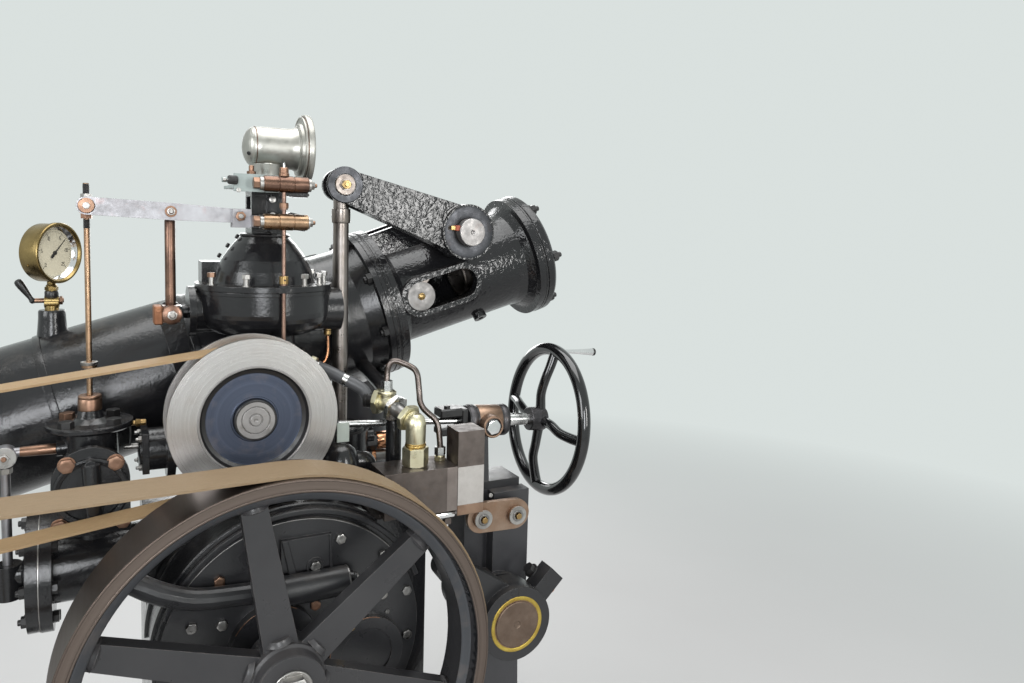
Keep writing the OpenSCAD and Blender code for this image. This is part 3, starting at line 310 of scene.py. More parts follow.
BELT_RUN = (3, 60, 30)
MATS = {
    "bed_black": paint((0.022, 0.022, 0.024), 0.36, 0.30, 220, 0.55, 0.5),
    "gloss_black": paint((0.0060, 0.0060, 0.0068), 0.15, 0.45, 170, 0.22, 0.35, 0.0009),
    "cover_black": paint((0.010, 0.010, 0.011), 0.30, 0.30, 260, 0.30, 0.4),
    "cast_black": paint((0.0055, 0.0055, 0.0062), 0.13, 0.95, 88, 0.14, 0.4, 0.0014, 1.5, 0.8),
    "wheel_black": plain((0.006, 0.006, 0.0065), 0.12, 90, 0.05, coat=0.5),
    "handle_black": plain((0.012, 0.012, 0.012), 0.3),
    "grey_green": paint((0.20, 0.235, 0.225), 0.42, 0.12, 300, 0.1, 0.5),
    "dark_copper": bare((0.25, 0.148, 0.105), (0.085, 0.052, 0.042), 0.30, 0.5),
    "bronze": bare((0.42, 0.28, 0.175), (0.24, 0.15, 0.095), 0.30, 0.4, lines=(0.12, 1, 1)),
    "nickel": bare((0.46, 0.455, 0.425), (0.33, 0.32, 0.29), 0.38, 0.22, (0.22, 0.15, 0.09)),
    "pale_steel": bare((0.35, 0.35, 0.365), (0.255, 0.245, 0.255), 0.42, 0.42, (0.36, 0.18, 0.15)),
    "shaft_steel": bare((0.30, 0.275, 0.26), (0.19, 0.16, 0.14), 0.34, 0.35, (0.14, 0.085, 0.06),
        lines=(1, 1, 0.05)),
    "disc_steel": bare((0.30, 0.29, 0.285), (0.215, 0.205, 0.20), 0.46, 0.25),
    "pulley_steel": turned((0.48, 0.465, 0.455), (0.38, 0.36, 0.345), PULLEY, 0.27, 1400, 0.5),
    "rim_iron": wheel_iron(),
    "wide_leather": leather((0.265, 0.19, 0.11), (0.195, 0.132, 0.070), BELT_RUN),
    "narrow_leather": leather((0.38, 0.262, 0.135), (0.27, 0.17, 0.08), BELT_RUN),
    "zinc": bare((0.76, 0.72, 0.54), (0.55, 0.505, 0.34), 0.34, 0.25, (0.30, 0.23, 0.10)),
    "block_steel": bare((0.165, 0.14, 0.128), (0.105, 0.088, 0.08), 0.40, 0.35, lines=(0.15, 1, 1)),
    "brown_steel": bare((0.34, 0.23, 0.165), (0.22, 0.14, 0.10), 0.38, 0.5),
    "plate_steel": bare((0.33, 0.25, 0.195), (0.24, 0.155, 0.105), 0.46, 0.7, (0.27, 0.115, 0.05)),
    "cock_brass": bare((0.33, 0.245, 0.105), (0.18, 0.125, 0.05), 0.30, 0.45, (0.10, 0.06, 0.025)),
}
# Finishes of small pieces that are not slots of their own: each names the slot it belongs to.
EXTRA = {
    "bolt_steel": (bare((0.48, 0.47, 0.455), (0.27, 0.255, 0.24), 0.34, 0.5), "pale_steel"),
    "bolt_copper": (bare((0.34, 0.215, 0.15), (0.17, 0.095, 0.065), 0.36, 0.45), "dark_copper"),
    "bolt_black": (plain((0.016, 0.015, 0.015), 0.34), "gloss_black"),
    "bolt_brass": (bare((0.46, 0.33, 0.15), (0.27, 0.17, 0.07), 0.30, 0.4), "cock_brass"),
    "chrome": (bare((0.80, 0.80, 0.80), (0.70, 0.70, 0.70), 0.10, 0.05), "shaft_steel"),
    "web_blue": (turned((0.080, 0.094, 0.130), (0.050, 0.058, 0.082), PULLEY, 0.42, 600, 0.3),
        "pulley_steel"),
    "rubber": (plain((0.105, 0.108, 0.112), 0.40, 500, 0.25), "handle_black"),
    "dial": (plain((0.80, 0.74, 0.56), 0.45, 200, 0.02), "cock_brass"),
    "dial_ink": (plain((0.02, 0.018, 0.016), 0.5), "handle_black"),
    "bar_white": (bare((0.50, 0.475, 0.455), (0.43, 0.405, 0.385), 0.50, 0.12), "block_steel"),
    "key_red": (plain((0.42, 0.10, 0.05), 0.5), "plate_steel"),
    "rust": (bare((0.34, 0.17, 0.10), (0.20, 0.09, 0.05), 0.55, 0.6), "plate_steel"),
    "bolt_grey": (bare((0.36, 0.35, 0.34), (0.17, 0.165, 0.16), 0.34, 0.4), "pale_steel"),
    "rim_grey": (turned((0.12, 0.125, 0.135), (0.055, 0.057, 0.062), WHEEL, 0.36, 700, 0.3), "rim_iron"),
    "wheel_dark": (paint((0.030, 0.029, 0.030), 0.30, 0.3, 200, 0.15, 0.5), "rim_iron"),
    "plate_pale": (plain((0.42, 0.47, 0.42), 0.5), "grey_green"),
    "copper_ring": (bare((0.72, 0.38, 0.22), (0.50, 0.22, 0.11), 0.24, 0.35), "dark_copper"),
    "line_brass": (bare((0.66, 0.47, 0.18), (0.42, 0.26, 0.08), 0.24, 0.3), "zinc"),
    "line_silver": (bare((0.66, 0.66, 0.65), (0.50, 0.50, 0.49), 0.24, 0.15), "zinc"),
    "tube_steel": (bare((0.20, 0.175, 0.16), (0.105, 0.085, 0.078), 0.30, 0.5), "shaft_steel"),
    "hub_dark": (bare((0.085, 0.087, 0.095), (0.045, 0.046, 0.050), 0.36, 0.4, (0.06, 0.04, 0.035)),
        "cast_black"),
    "shaft_end": (bare((0.40, 0.385, 0.38), (0.27, 0.255, 0.25), 0.44, 0.35, (0.24, 0.13, 0.10)),
        "shaft_steel"),
    "washer_white": (bare((0.38, 0.34, 0.31), (0.27, 0.22, 0.195), 0.46, 0.35, (0.24, 0.12, 0.06)),
        "shaft_steel"),
    # painted highlight: the pale finish of the lit arcs round the rocking lever's hub
    "chip_pale": (plain((0.40, 0.39, 0.38), 0.45), "cast_black"),
    "hub_iron": (bare((0.12, 0.115, 0.12), (0.05, 0.048, 0.05), 0.42, 0.4, (0.10, 0.07, 0.05)),
        "handle_black"),
    "block_pale": (bare((0.255, 0.222, 0.205), (0.19, 0.16, 0.147), 0.40, 0.25), "block_steel"),
    "reg_face": (bare((0.22, 0.165, 0.13), (0.12, 0.085, 0.065), 0.46, 0.4), "brown_steel"),
    "rod_brown": (bare((0.27, 0.175, 0.135), (0.12, 0.075, 0.062), 0.30, 0.5, lines=(1, 1, 0.05)),
        "bronze"),
    "gold_ring": (bare((0.60, 0.47, 0.11), (0.36, 0.23, 0.05), 0.40, 0.55, (0.22, 0.075, 0.025)),
        "brown_steel"),
}


for finish, material in (*MATS.items(), *((key, pair[0]) for key, pair in EXTRA.items())):
    material.name = finish


def finish_of(name):
    """(material, slot) of a finish."""
    return (MATS[name], name) if name in MATS else EXTRA[name]


for sub in frame["record"]["subparts"]:
    cad = nodes[sub["node"]]
    cad.data.materials.clear()
    cad.data.materials.append(MATS[sub["material_slot"]])
nodes["speeder_rod"].data.materials[0] = EXTRA["rod_brown"][0]


# ---------------------------------------------------------------- detail geometry
def about_z(degrees):
    return Matrix.Rotation(radians(degrees), 4, "Z")


def at(x, y, z, axis=Z, turn=0.0):
    """A frame at a place in millimetres: local +Z along axis, turned about it by turn degrees."""
    side = axis.to_track_quat("Z", "Y").to_matrix().to_4x4()
    return Matrix.Translation(P(x, y, z)) @ side @ about_z(turn)


def frame_from(place, x, y, z):
    """A frame at a place in millimetres, given its three directions."""
    return Matrix.Translation(P(*place)) @ Matrix((x, y, z)).transposed().to_4x4()


def on_nozzle(s=0):
    """Local +Z along the nozzle, local -X away from the floor."""
    c, t = cos(TILT), sin(TILT)
    place = (NOZZLE[0] + s * c, NOZZLE[1], NOZZLE[2] + s * t)
    return frame_from(place, Vector((t, 0, -c)), Y, Vector((c, 0, t)))


def on_hand(s=0, turn=0.0):
    """Local +Z along the handwheel's axis, away from the machine."""
    c, t = cos(HAND_TILT), sin(HAND_TILT)
    place = (HAND[0] + s * c, HAND[1], HAND[2] - s * t)
    return frame_from(place, Vector((-t, 0, -c)), Y, Vector((c, 0, -t))) @ about_z(turn)


def polar(r, a):
    """Flat corner at radius r and angle a, in radians."""
    return r * cos(a), r * sin(a)


class Group:
    """Detail of one finish that rides on one body, gathered in one mesh."""

    made = {}
    part = ""

    def __init__(self, body, finish, part):
        self.body, self.finish, self.name = body, finish, f"{part}_{body}_{finish}"
        self.bm = bmesh.new()

    def rings(self, m, rings, close=False, cap=True):
        """Skin over rings of points in millimetres of the local frame m."""
        made = [[self.bm.verts.new(m @ (Vector(p) * MM)) for p in ring] for ring in rings]
        pairs = list(zip(made, made[1:])) + ([(made[-1], made[0])] if close else [])
        for a, b in pairs:
            if len(a) == 1 and len(b) == 1:
                continue
            n = max(len(a), len(b))
            for i in range(n):
                j = (i + 1) % n
                corner = [a[i % len(a)], a[j % len(a)], b[j % len(b)], b[i % len(b)]]
                kept = [v for k, v in enumerate(corner) if v is not corner[k - 1]]
                self.bm.faces.new(kept)
        if cap and not close:
            for ring in (made[0], made[-1]):
                if len(ring) > 2:
                    self.bm.faces.new(ring)

    def lathe(self, m, profile, sides=40, close=False):
        """Revolve (radius, height) pairs about local Z; a closed profile makes a ring."""
        rings = []
        for r, z in profile:
            n = 1 if r < 1e-6 else sides
            rings.append([(*polar(r, tau * i / sides), z) for i in range(n)])
        self.rings(m, rings, close=close, cap=not close)

    def hexagon(self, m, across, height, low=0.0, both=False):
        """A hexagon nut or head with its chamfered corners, from low up to low + height."""
        half = across / 2
        outer = []
        for i in range(24):
            a = tau * i / 24
            r = half / cos((a % (tau / 6)) - tau / 12)
            outer.append((a, r, (r - half * 0.98) * 0.5))

        def ring(radius, z, drop):
            """The corners at height z, or a circle where a radius is given."""
            return [(*polar(radius or r, a), z + drop * d) for a, r, d in outer]

        top = low + height
        base = [ring(half * 0.95, low, 0), ring(None, low, 1)] if both else [ring(None, low, 0)]
        crown = [ring(None, top, -1), ring(half * 0.95, top, 0), ring(half * 0.5, top - 0.3, 0)]
        self.rings(m, base + crown)

    def washer(self, m, r, bore, thick):
        e = min(0.35, thick / 3)
        profile = [(bore, 0), (r - e, 0), (r, e), (r, thick - e), (r - e, thick), (bore, thick)]
        self.lathe(m, profile, 32, True)

    def bolt(self, place, axis, across, height, washer=0.0, stud=0.0, turn=0.0):
        """A bolt head or nut that stands on a face, with a washer and a stud end if given."""
        m = at(*place, axis, turn)
        low = 0.0
        if washer:
            self.washer(m, washer, across * 0.2, 2.2)
            low = 2.2
        self.hexagon(m, across, height, low)
        if stud:
            r, top = across * 0.29, low + height
            self.lathe(m, [(r, top - 1), (r, top + stud - 1.2), (r - 1.2, top + stud), (0, top + stud)], 20)

    def slotted(self, place, axis, r, height, turn=0.0):
        """A round screw head with a sawn slot."""
        m = at(*place, axis, turn)
        self.lathe(m, [(r, 0), (r, height * 0.55), (0, height * 0.55)], 24)
        gap = r * 0.16
        for side in (-1, 1):
            a0 = asin(gap / r)
            arc = [polar(r, a0 + (pi - 2 * a0) * i / 12) for i in range(13)]
            low = [(x, y * side, height * 0.5) for x, y in arc]
            mid = [(x, y * side, height * 0.85) for x, y in arc]
            top = [(x * 0.86, (gap + (y - gap) * 0.84) * side, height) for x, y in arc]
            self.rings(m, [low, mid, top])

    def prism(self, m, outline, z0, z1, bevel=0.8):
        """A flat outline from z0 to z1 with bevelled edges."""
        n = len(outline)
        area = sum(a[0] * b[1] - b[0] * a[1] for a, b in zip([outline[-1]] + outline, outline))
        if area < 0:
            outline = list(reversed(outline))
        inset = []
        for i in range(n):
            p, a, b = Vector(outline[i]), Vector(outline[i - 1]), Vector(outline[(i + 1) % n])
            u, v = (p - a).normalized(), (b - p).normalized()
            n1, n2 = Vector((-u.y, u.x)), Vector((-v.y, v.x))
            bis = n1 + n2
            inset.append(p + bis * (bevel / max(0.25, bis.dot(n1))))
        e = min(bevel, abs(z1 - z0) / 2.5)
        self.rings(m, [[(*p, z0) for p in inset], [(*p, z0 + e) for p in outline],
            [(*p, z1 - e) for p in outline], [(*p, z1) for p in inset]])

    def block(self, lo, hi, bevel=1.0):
        """A box between two corners in the frame, with bevelled edges."""
        (x0, y0, z0), (x1, y1, z1) = lo, hi
        c = min(bevel, (x1 - x0) / 4, (y1 - y0) / 4)
        outline = [(x0 + c, y0), (x1 - c, y0), (x1, y0 + c), (x1, y1 - c), (x1 - c, y1), (x0 + c, y1),
            (x0, y1 - c), (x0, y0 + c)]
        self.prism(Matrix.Identity(4), outline, z0, z1, bevel)

    def tube(self, points, r, sides=16, steps=8):
        """A round tube on the smooth curve through points in millimetres."""
        pts = [Vector(p) for p in points]
        line = []
        for i in range(len(pts) - 1):
            p0, p1, p2, p3 = pts[max(i - 1, 0)], pts[i], pts[i + 1], pts[min(i + 2, len(pts) - 1)]
            for k in range(steps + (i == len(pts) - 2)):
                u = k / steps
                line.append(p1 + (p2 - p0) * (u / 2) + (2 * p0 - 5 * p1 + 4 * p2 - p3) * (u * u / 2)
                    + (3 * p1 - p0 - 3 * p2 + p3) * (u ** 3 / 2))
        radii = [r] * len(line) if not callable(r) else [r(i / (len(line) - 1)) for i in range(len(line))]
        side = (line[1] - line[0]).orthogonal().normalized()
        rings = []
        for i, at in enumerate(line):
            ahead = (line[min(i + 1, len(line) - 1)] - line[max(i - 1, 0)]).normalized()
            side = (side - ahead * side.dot(ahead)).normalized()
            other = ahead.cross(side)
            turns = [polar(1, tau * k / sides) for k in range(sides)]
            rings.append([tuple(at + (side * c + other * t) * radii[i]) for c, t in turns])
        self.rings(Matrix.Identity(4), rings)

    def build(self):
        bmesh.ops.recalc_face_normals(self.bm, faces=self.bm.faces[:])
        for edge in self.bm.edges:
            if len(edge.link_faces) == 2 and edge.calc_face_angle(0) > radians(32):
                edge.smooth = False
        mesh = bpy.data.meshes.new(self.name)
        self.bm.to_mesh(mesh)
        self.bm.free()
        mesh.shade_smooth()
        material, slot = finish_of(self.finish)
        mesh.materials.append(material)
        piece = bpy.data.objects.new(self.name, mesh)
        bpy.context.scene.collection.objects.link(piece)
        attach(piece, self.body)
        return piece


def on(finish, body="machine", part=None):
    """The group of details of one finish on one body, in one part of the machine."""
    key = (body, finish, part or Group.part)
    if key not in Group.made:
        Group.made[key] = Group(*key)
    return Group.made[key]


def bolt_circle(group, m, r, angles, across, height, washer=0.0, stud=0.0):
    """Bolts round local Z of the frame m, at r millimetres."""
    axis = m.to_3x3() @ Z
    for i, a in enumerate(angles):
        a = radians(a)
        place = (m @ (Vector((*polar(r, a), 0)) * MM)) / MM
        group.bolt(place, axis, across, height, washer, stud, turn=17 * i)


def divisions(ink, m, count, every, radius, lengths, halves, heights):
    """The strokes of a dial over 270 degrees; lengths and half widths are (main, other)."""
    for k in range(count):
        a = radians(DIAL_START - 270 / (count - 1) * k)
        kind = 0 if k % every == 0 else 1
        inner = radius - lengths[kind]
        u, v = Vector((cos(a), sin(a))), Vector((-sin(a), cos(a))) * halves[kind]
        ends = [u * radius - v, u * radius + v, u * inner + v, u * inner - v]
        ink.prism(m, [tuple(p) for p in ends], *heights)


# ---------------------------------------------------------------- governor head
def tachometer():
    """The tachometer on top, with its dial and hand."""
    body = on("nickel")
    m = at(-42, GOV[1], TACH_Z, X)
    body.lathe(m, [(40, 0), (40.9, 3), (41.2, 12), (41.2, 62), (42, 74), (45, 82), (50, 85), (50, 84)], 64)
    bezel = at(43, GOV[1], TACH_Z, X)
    body.lathe(bezel, [(64, 4.6), (66.5, 5), (67.4, 7), (67, 9.4), (68.6, 9.6), (71.2, 10.6), (71.8, 12.5),
        (71.8, 20), (70.4, 22.4), (63, 23.4), (62, 17.2)], 72, True)
    body.lathe(at(GOV[0] + 3, GOV[1], COLUMN_TOP + 6),
        [(26, 0), (30.5, 0.5), (31.5, 3), (30.5, 6), (27.5, 8), (27, 14), (29, 30), (34, 46)], 48)
    dark = on("dark_copper")
    dark.lathe(m, [(40.6, -0.9), (41.4, -0.6), (41.4, 0.6), (40.6, 0.9)], 64, True)
    dark.lathe(bezel, [(67, 9.1), (69, 9.2), (69, 10), (67, 10)], 64, True)
    low_left = Vector((-0.62, -0.62, -0.38)).normalized()
    on("bolt_black").slotted((-56, 53, 1577), low_left, 4, 2.6, 30)
    face = at(60, GOV[1], TACH_Z, X, 90)
    on("dial").lathe(face, [(0, 0.4), (59, 0.4), (59, 0.1), (0, 0.1)], 64)
    ink = on("dial_ink")
    divisions(ink, face, 31, 5, 54, (7, 4), (0.45, 0.45), (0.4, 0.7, 0.05))
    ink.prism(face, [(-1.4, -10), (1.4, -10), (0.5, 42), (-0.5, 42)], 1.4, 2.0, 0.1)
    ink.lathe(face, [(5, 0.4), (5, 2.4), (0, 2.8)], 24)


def adjuster():
    """Hexagon, black knob and screw of the adjusting bracket."""
    hexes = on("bolt_copper")
    hexes.hexagon(at(-57, 22, COLUMN_TOP + 6), 15, 28)
    hexes.lathe(at(-57, 22, COLUMN_TOP + 6), [(5, 27), (5, 38), (4, 39), (0, 39)], 20)
    knob = at(*KNOB, -X)
    black = on("bolt_black")
    black.lathe(knob, [(6, 0), (7.8, 1.5), (7.8, 16), (6.4, 18), (0, 18)], 28)
    steel = on("bolt_steel")
    steel.lathe(knob, [(1.8, 17), (1.8, 20.5), (3.2, 21.4), (3.8, 23.6), (3.2, 25.8), (0, 26.8)], 24)
    for k in range(20):
        a = tau * k / 20
        y, z = KNOB[1] + 7.7 * cos(a), KNOB[2] + 7.7 * sin(a)
        black.block((-110, y - 0.5, z - 0.5), (-96, y + 0.5, z + 0.5), 0.2)
    steel.bolt((-92, -47.7, 1500), -Y, 8, 4)


def roller(z, body, finish, collar):
    """The rod's roller with its sleeves, collars and end nuts."""
    m = at(-50, SPEEDER[1], z, X)
    sleeve = on(finish, body)
    sleeve.lathe(m, [(14, 1), (15, 1.6), (15, 26), (14.2, 26.6)], 40)
    sleeve.lathe(m, [(14.2, 28), (15.6, 28.8), (15.6, 54), (14.2, 54.8)], 40)
    sleeve.lathe(m, [(14.2, 56), (15, 56.6), (15, 81), (14, 82)], 40)
    steel = on("bolt_steel", body)
    steel.lathe(m, [(9, -7), (12.5, -6.4), (12.5, 0.4), (9, 0.4)], 32)
    steel.lathe(m, [(9, collar - 1), (12.5, collar - 0.5), (12.5, collar + 6), (9, collar + 6.6)], 32)
    dark = on("bolt_copper", body)
    dark.hexagon(at(-57, SPEEDER[1], z, -X, 12), 19, 11)
    steel.hexagon(at(-50 + collar + 6.6, SPEEDER[1], z, X, 8), 15, 6)
    dark.lathe(at(-50 + collar + 12, SPEEDER[1], z, X), [(4, 0), (4, 5), (3, 6), (0, 6)], 20)


def head():
    """Rollers, column and dome of the governor head."""
    tachometer()
    adjuster()
    roller(COLUMN_TOP + 8, "machine", "dark_copper", 82)
    roller(1443, "slider", "bronze", 79)
    copper = on("bolt_copper")
    cup = at(*SPEEDER, COLUMN_TOP + 22)
    copper.lathe(cup, [(5, 0), (9.6, 1), (9.6, 6), (8.4, 7), (8.4, 16), (7, 17.4), (2.4, 17.4)], 32)
    on("chrome").lathe(cup, [(2.2, 17), (2.2, 24), (1.2, 26.5), (0, 26.5)], 16)
    collar = at(*SPEEDER, 1470)
    on("bolt_copper").lathe(collar,
        [(4.2, -1.5), (8.2, -1), (8.6, 1), (8.6, 8), (7.6, 9.4), (4.2, 9.6)], 28, True)
    brass = on("bolt_brass")
    brass.lathe(at(*SPEEDER, BOWL_TOP + 18),
        [(4.2, 0), (8.4, 0.6), (8.6, 14), (7.4, 15.6), (4.2, 15.8)], 28, True)
    on("bolt_black").slotted((SPEEDER[0], SPEEDER[1] - 8.4, BOWL_TOP + 26), -Y, 1.8, 1.4, 40)
    steel = on("bolt_steel")
    for z in (1487, 1455):
        steel.lathe(at(-13, 44, z, -Y), [(7.6, -0.5), (7.6, 1.5), (6.4, 3.2), (3, 3.9), (0, 4)], 28)
    arm = [(-14, 1456), (4, 1462), (28, 1457), (35, 1451), (36, 1432), (31, 1426), (4, 1429), (-14, 1432)]
    m = frame_from((0, -46.4, 0), X, Z, -Y)
    on("gloss_black", "slider").prism(m, arm, -69, 0, 1.5)
    arm = [(-14, 1500), (34, 1500), (37, 1496), (33, 1491), (6, 1491), (-14, 1494)]
    on("gloss_black").prism(m, arm, -20, 12, 1.2)
    # bolts on the dome's flange, on their spacers
    for i, a in enumerate((203, 243, 299, 323, 353, 25, 55, 88, 122)):
        p = (GOV[0] + 118 * cos(radians(a)), GOV[1] + 118 * sin(radians(a)))
        steel.lathe(at(*p, BOWL_TOP + DOME_FLANGE_T), [(8, 0), (8, 1.6), (5, 1.8), (5, 15), (0, 15)], 20)
        heads = copper if i == 0 else steel
        heads.hexagon(at(*p, BOWL_TOP + DOME_FLANGE_T, Z, 13 * i), 14, 9, 14.6)
    black = on("bolt_black")
    for r, z in ((52, 1410), (70, 1392), (86, 1372)):
        out = Vector((-0.85, -0.1, 0.5)).normalized()
        black.bolt((GOV[0] - r - 1, GOV[1] - 6, z), out, 9, 5)
    black.tube([(GOV[0] + 62, GOV[1] - 60, 1371), (GOV[0] + 74, GOV[1] - 70, 1376),
        (GOV[0] + 86, GOV[1] - 76, 1379)], 1.1, 8, 3)
    ring = on("gloss_black")
    ring.lathe(at(*GOV, BOWL_TOP), [(BOWL_R - 4, -10), (BOWL_R + 1.6, -8), (BOWL_R + 1.6, -1.2),
        (BOWL_R - 4, -0.6)], 96, True)
    ring.lathe(at(*GOV, DOME_TOP - 1), [(44, 0), (49, 0.5), (50, 3), (47, 6), (40, 7)], 56, True)


# ---------------------------------------------------------------- floating lever and its rods
def lever_gear():
    """Washers, nuts and sleeves of the floating lever and its rods."""
    y = 7
    brown, steel = on("bolt_copper", "lever"), on("bolt_steel", "lever")
    for x, z, r in ((-81, 1452, 11), (-203, 1457, 10.5)):
        brown.washer(at(x, 10, z, -Y), r, 2, 2.2)
    brown.hexagon(at(-81, 2, 1452, -Y, 10), 17, 9)
    steel.lathe(at(-81, -7, 1452, -Y), [(5, -1), (5, 2.6), (4, 3.6), (0, 3.6)], 20)
    link = on("bolt_steel")
    link.hexagon(at(-203, y, 1457, -Y, 20), 13, 6)
    link.lathe(at(-203, 1, 1457, -Y), [(4, -0.5), (4, 2), (3, 3), (0, 3)], 18)
    sleeve = on("dark_copper")
    sleeve.lathe(at(-203, VALVE[1], 1281), [(9.2, 0), (9.6, 4), (9.5, 80), (9.6, 158), (8, 162)], 32)
    sleeve.lathe(at(-203, VALVE[1] - 26, 1264, -Y),
        [(18, -4), (18.6, -2), (18, 4), (14, 5.4), (0, 5.4)], 32)
    link.hexagon(at(-203, VALVE[1] - 31.4, 1264, -Y, 15), 16, 7)
    link.lathe(at(-203, VALVE[1] - 38.4, 1264, -Y), [(5.5, -0.5), (5.5, 2), (4, 3.4), (0, 3.4)], 20)
    rust = on("rust")
    rust.block((-234, 2, 1246), (-219, 44, 1281), 2)
    rust.bolt((-226.5, 2, 1274), -Y, 9, 4)
    rust.block((-219, 12, 1252), (-214, 40, 1276), 0.8)
    # the valve's rod
    brown, steel = on("bolt_copper", "valve_spindle"), on("bolt_steel", "valve_spindle")
    black = on("bolt_black", "valve_spindle")
    for z0, z1 in ((1484, 1503.6), (1422, 1440)):
        profile, z = [(4.6, z0)], z0
        while z < z1 - 2:
            profile += [(5.7, z + 0.7), (5.1, z + 1.5)]
            z += 1.5
        black.lathe(at(*VALVE, 0), profile + [(4.6, z1), (0, z1)], 20)
    steel.hexagon(at(*VALVE, 1476.5, Z, 10), 16, 8)
    brown.hexagon(at(*VALVE, 1440, Z, 22), 17, 9.6)
    brown.lathe(at(VALVE[0], y - 0.2, 1463, -Y),
        [(4, 0), (13.4, 0.3), (13.8, 1.5), (12.6, 3), (4, 3.2)], 36, True)
    steel.hexagon(at(VALVE[0], y - 3, 1463, -Y, 5), 11, 5)
    steel.lathe(at(*VALVE, 1148), [(5.2, 0), (7, 3), (8.4, 18), (14, 26), (14.4, 30.4), (11, 30.6), (9.4, 28),
        (5.2, 26)], 32, True)


# ---------------------------------------------------------------- pilot valve and relay cylinder
def valve():
    """Pilot valve with its cross pipe, relay link and relay cylinder."""
    copper, black, steel = (on(f) for f in ("bolt_copper", "bolt_black", "bolt_steel"))
    copper.lathe(at(*VALVE, 1089), [(6, 0), (19, 0), (20, 1.5), (20, 20), (19, 22), (19.6, 23), (19.6, 26.4),
        (18, 28.4), (6, 28.4)], 40, True)
    for i, (dx, dy) in enumerate(((-38, 38), (38, 38), (-38, -38), (38, -38))):
        group = copper if i == 0 else black
        group.bolt((VALVE[0] + dx, VALVE[1] + dy, CAP_TOP), Z, 23, 11, turn=10 + 25 * i)
    on("gloss_black").lathe(at(*VALVE, CAP_TOP),
        [(66, -12), (72.4, -8), (72.8, -1.5), (71, 0.8), (66, 0.4)], 64, True)
    front = VALVE[1] - 84
    for x, z, turn in ((-378, 1013, 5), (-302, 1010, 20), (-390, 905, 12), (-292, 903, 0)):
        copper.bolt((x, front, z), -Y, 23, 10, washer=14.5, turn=turn)
    rib = on("gloss_black")
    rib.tube([(-341, front - 14, 1013), (-340, front - 16, 985), (-338, front - 16, 940),
        (-337, front - 14, 900)], lambda u: 15 - 2 * u, 20, 4)
    rib.lathe(at(-341, front, 960, -Y), [(56, 0), (60, 1), (60.5, 4), (57, 5.5), (50, 4)], 56, True)
    # try cock at the right of the cap
    brass = on("bolt_brass")
    m = at(VALVE[0] + 62, 24, 1060, X)
    brass.lathe(m, [(4.5, 0), (4.5, 12), (6, 13), (6, 30), (4, 31), (0, 31)], 20)
    brass.hexagon(m, 13, 8, 13)
    brass.hexagon(m, 11, 5, 25)
    black.tube([(-276, 24, 1057), (-275, 22, 1040), (-277, 20, 1020)], 2.2, 10, 3)
    # square cover with its studs at the left end of the cross pipe
    cover = on("gloss_black")
    z = 1006
    cover.lathe(at(-257, 30, z, -X), [(34, -1), (34, 3), (30, 5), (14, 6), (0, 6)], 40)
    for dy in (-27, 27):
        for dz in (-27, 27):
            steel.bolt((-257, 30 + dy, z + dz), -X, 11, 6, stud=5, turn=9)
    steel.lathe(at(-263, 30, z + 8, -X), [(5.5, 0), (5.5, 22), (4.5, 24), (0, 24)], 20)
    # eye of the relay link and its copper rod
    copper.lathe(at(-466, 20, 1026, X), [(6, 0), (6.4, 6), (9, 20), (9.6, 60), (9.6, 70), (8, 71)], 28)
    steel.washer(at(-474, 8.4, 1020, -Y), 18.6, 4, 3)
    steel.hexagon(at(-474, 5.6, 1020, -Y, 12), 14, 6)
    copper.lathe(at(-474, -0.6, 1020, -Y), [(4.5, -0.5), (4.5, 2), (3.4, 3), (0, 3)], 18)
    steel.hexagon(at(-474, 20, 990, Z, 8), 20, 10)
    # relay cylinder: studs through both flanges, a bright seam
    m = at(-443, RELAY[0], RELAY[1], -X)
    bolt_circle(on("bolt_black", part="relay"), m, 90, range(0, 360, 45), 18, 9, stud=5)
    back = at(-403, RELAY[0], RELAY[1], X)
    bolt_circle(on("bolt_black", part="relay"), back, 90, range(0, 360, 45), 18, 9)
    steel.lathe(at(-423, RELAY[0], RELAY[1], X),
        [(104, -0.9), (107.4, -0.8), (107.4, 0.8), (104, 0.9)], 72, True)
    cover.lathe(m, [(60, -0.5), (62, 2), (40, 6), (24, 8), (20, 10), (20, 14), (0, 14)], 48)
    steel.lathe(at(-443, RELAY[0], RELAY[1], -X), [(12, 13), (12, 20), (10, 22), (0, 22)], 24)


# ---------------------------------------------------------------- pressure gauge
def digit_strokes(ch):
    """Corner lines of a plain figure in a box 3 wide and 5 high."""
    lines = {"0": "abcdef", "1": "bc", "2": "abged", "5": "afgcd"}[ch]
    place = {"a": ((0, 5), (3, 5)), "b": ((3, 5), (3, 2.5)), "c": ((3, 2.5), (3, 0)), "d": ((3, 0), (0, 0)),
        "e": ((0, 0), (0, 2.5)), "f": ((0, 2.5), (0, 5)), "g": ((0, 2.5), (3, 2.5))}
    return [place[s] for s in lines]


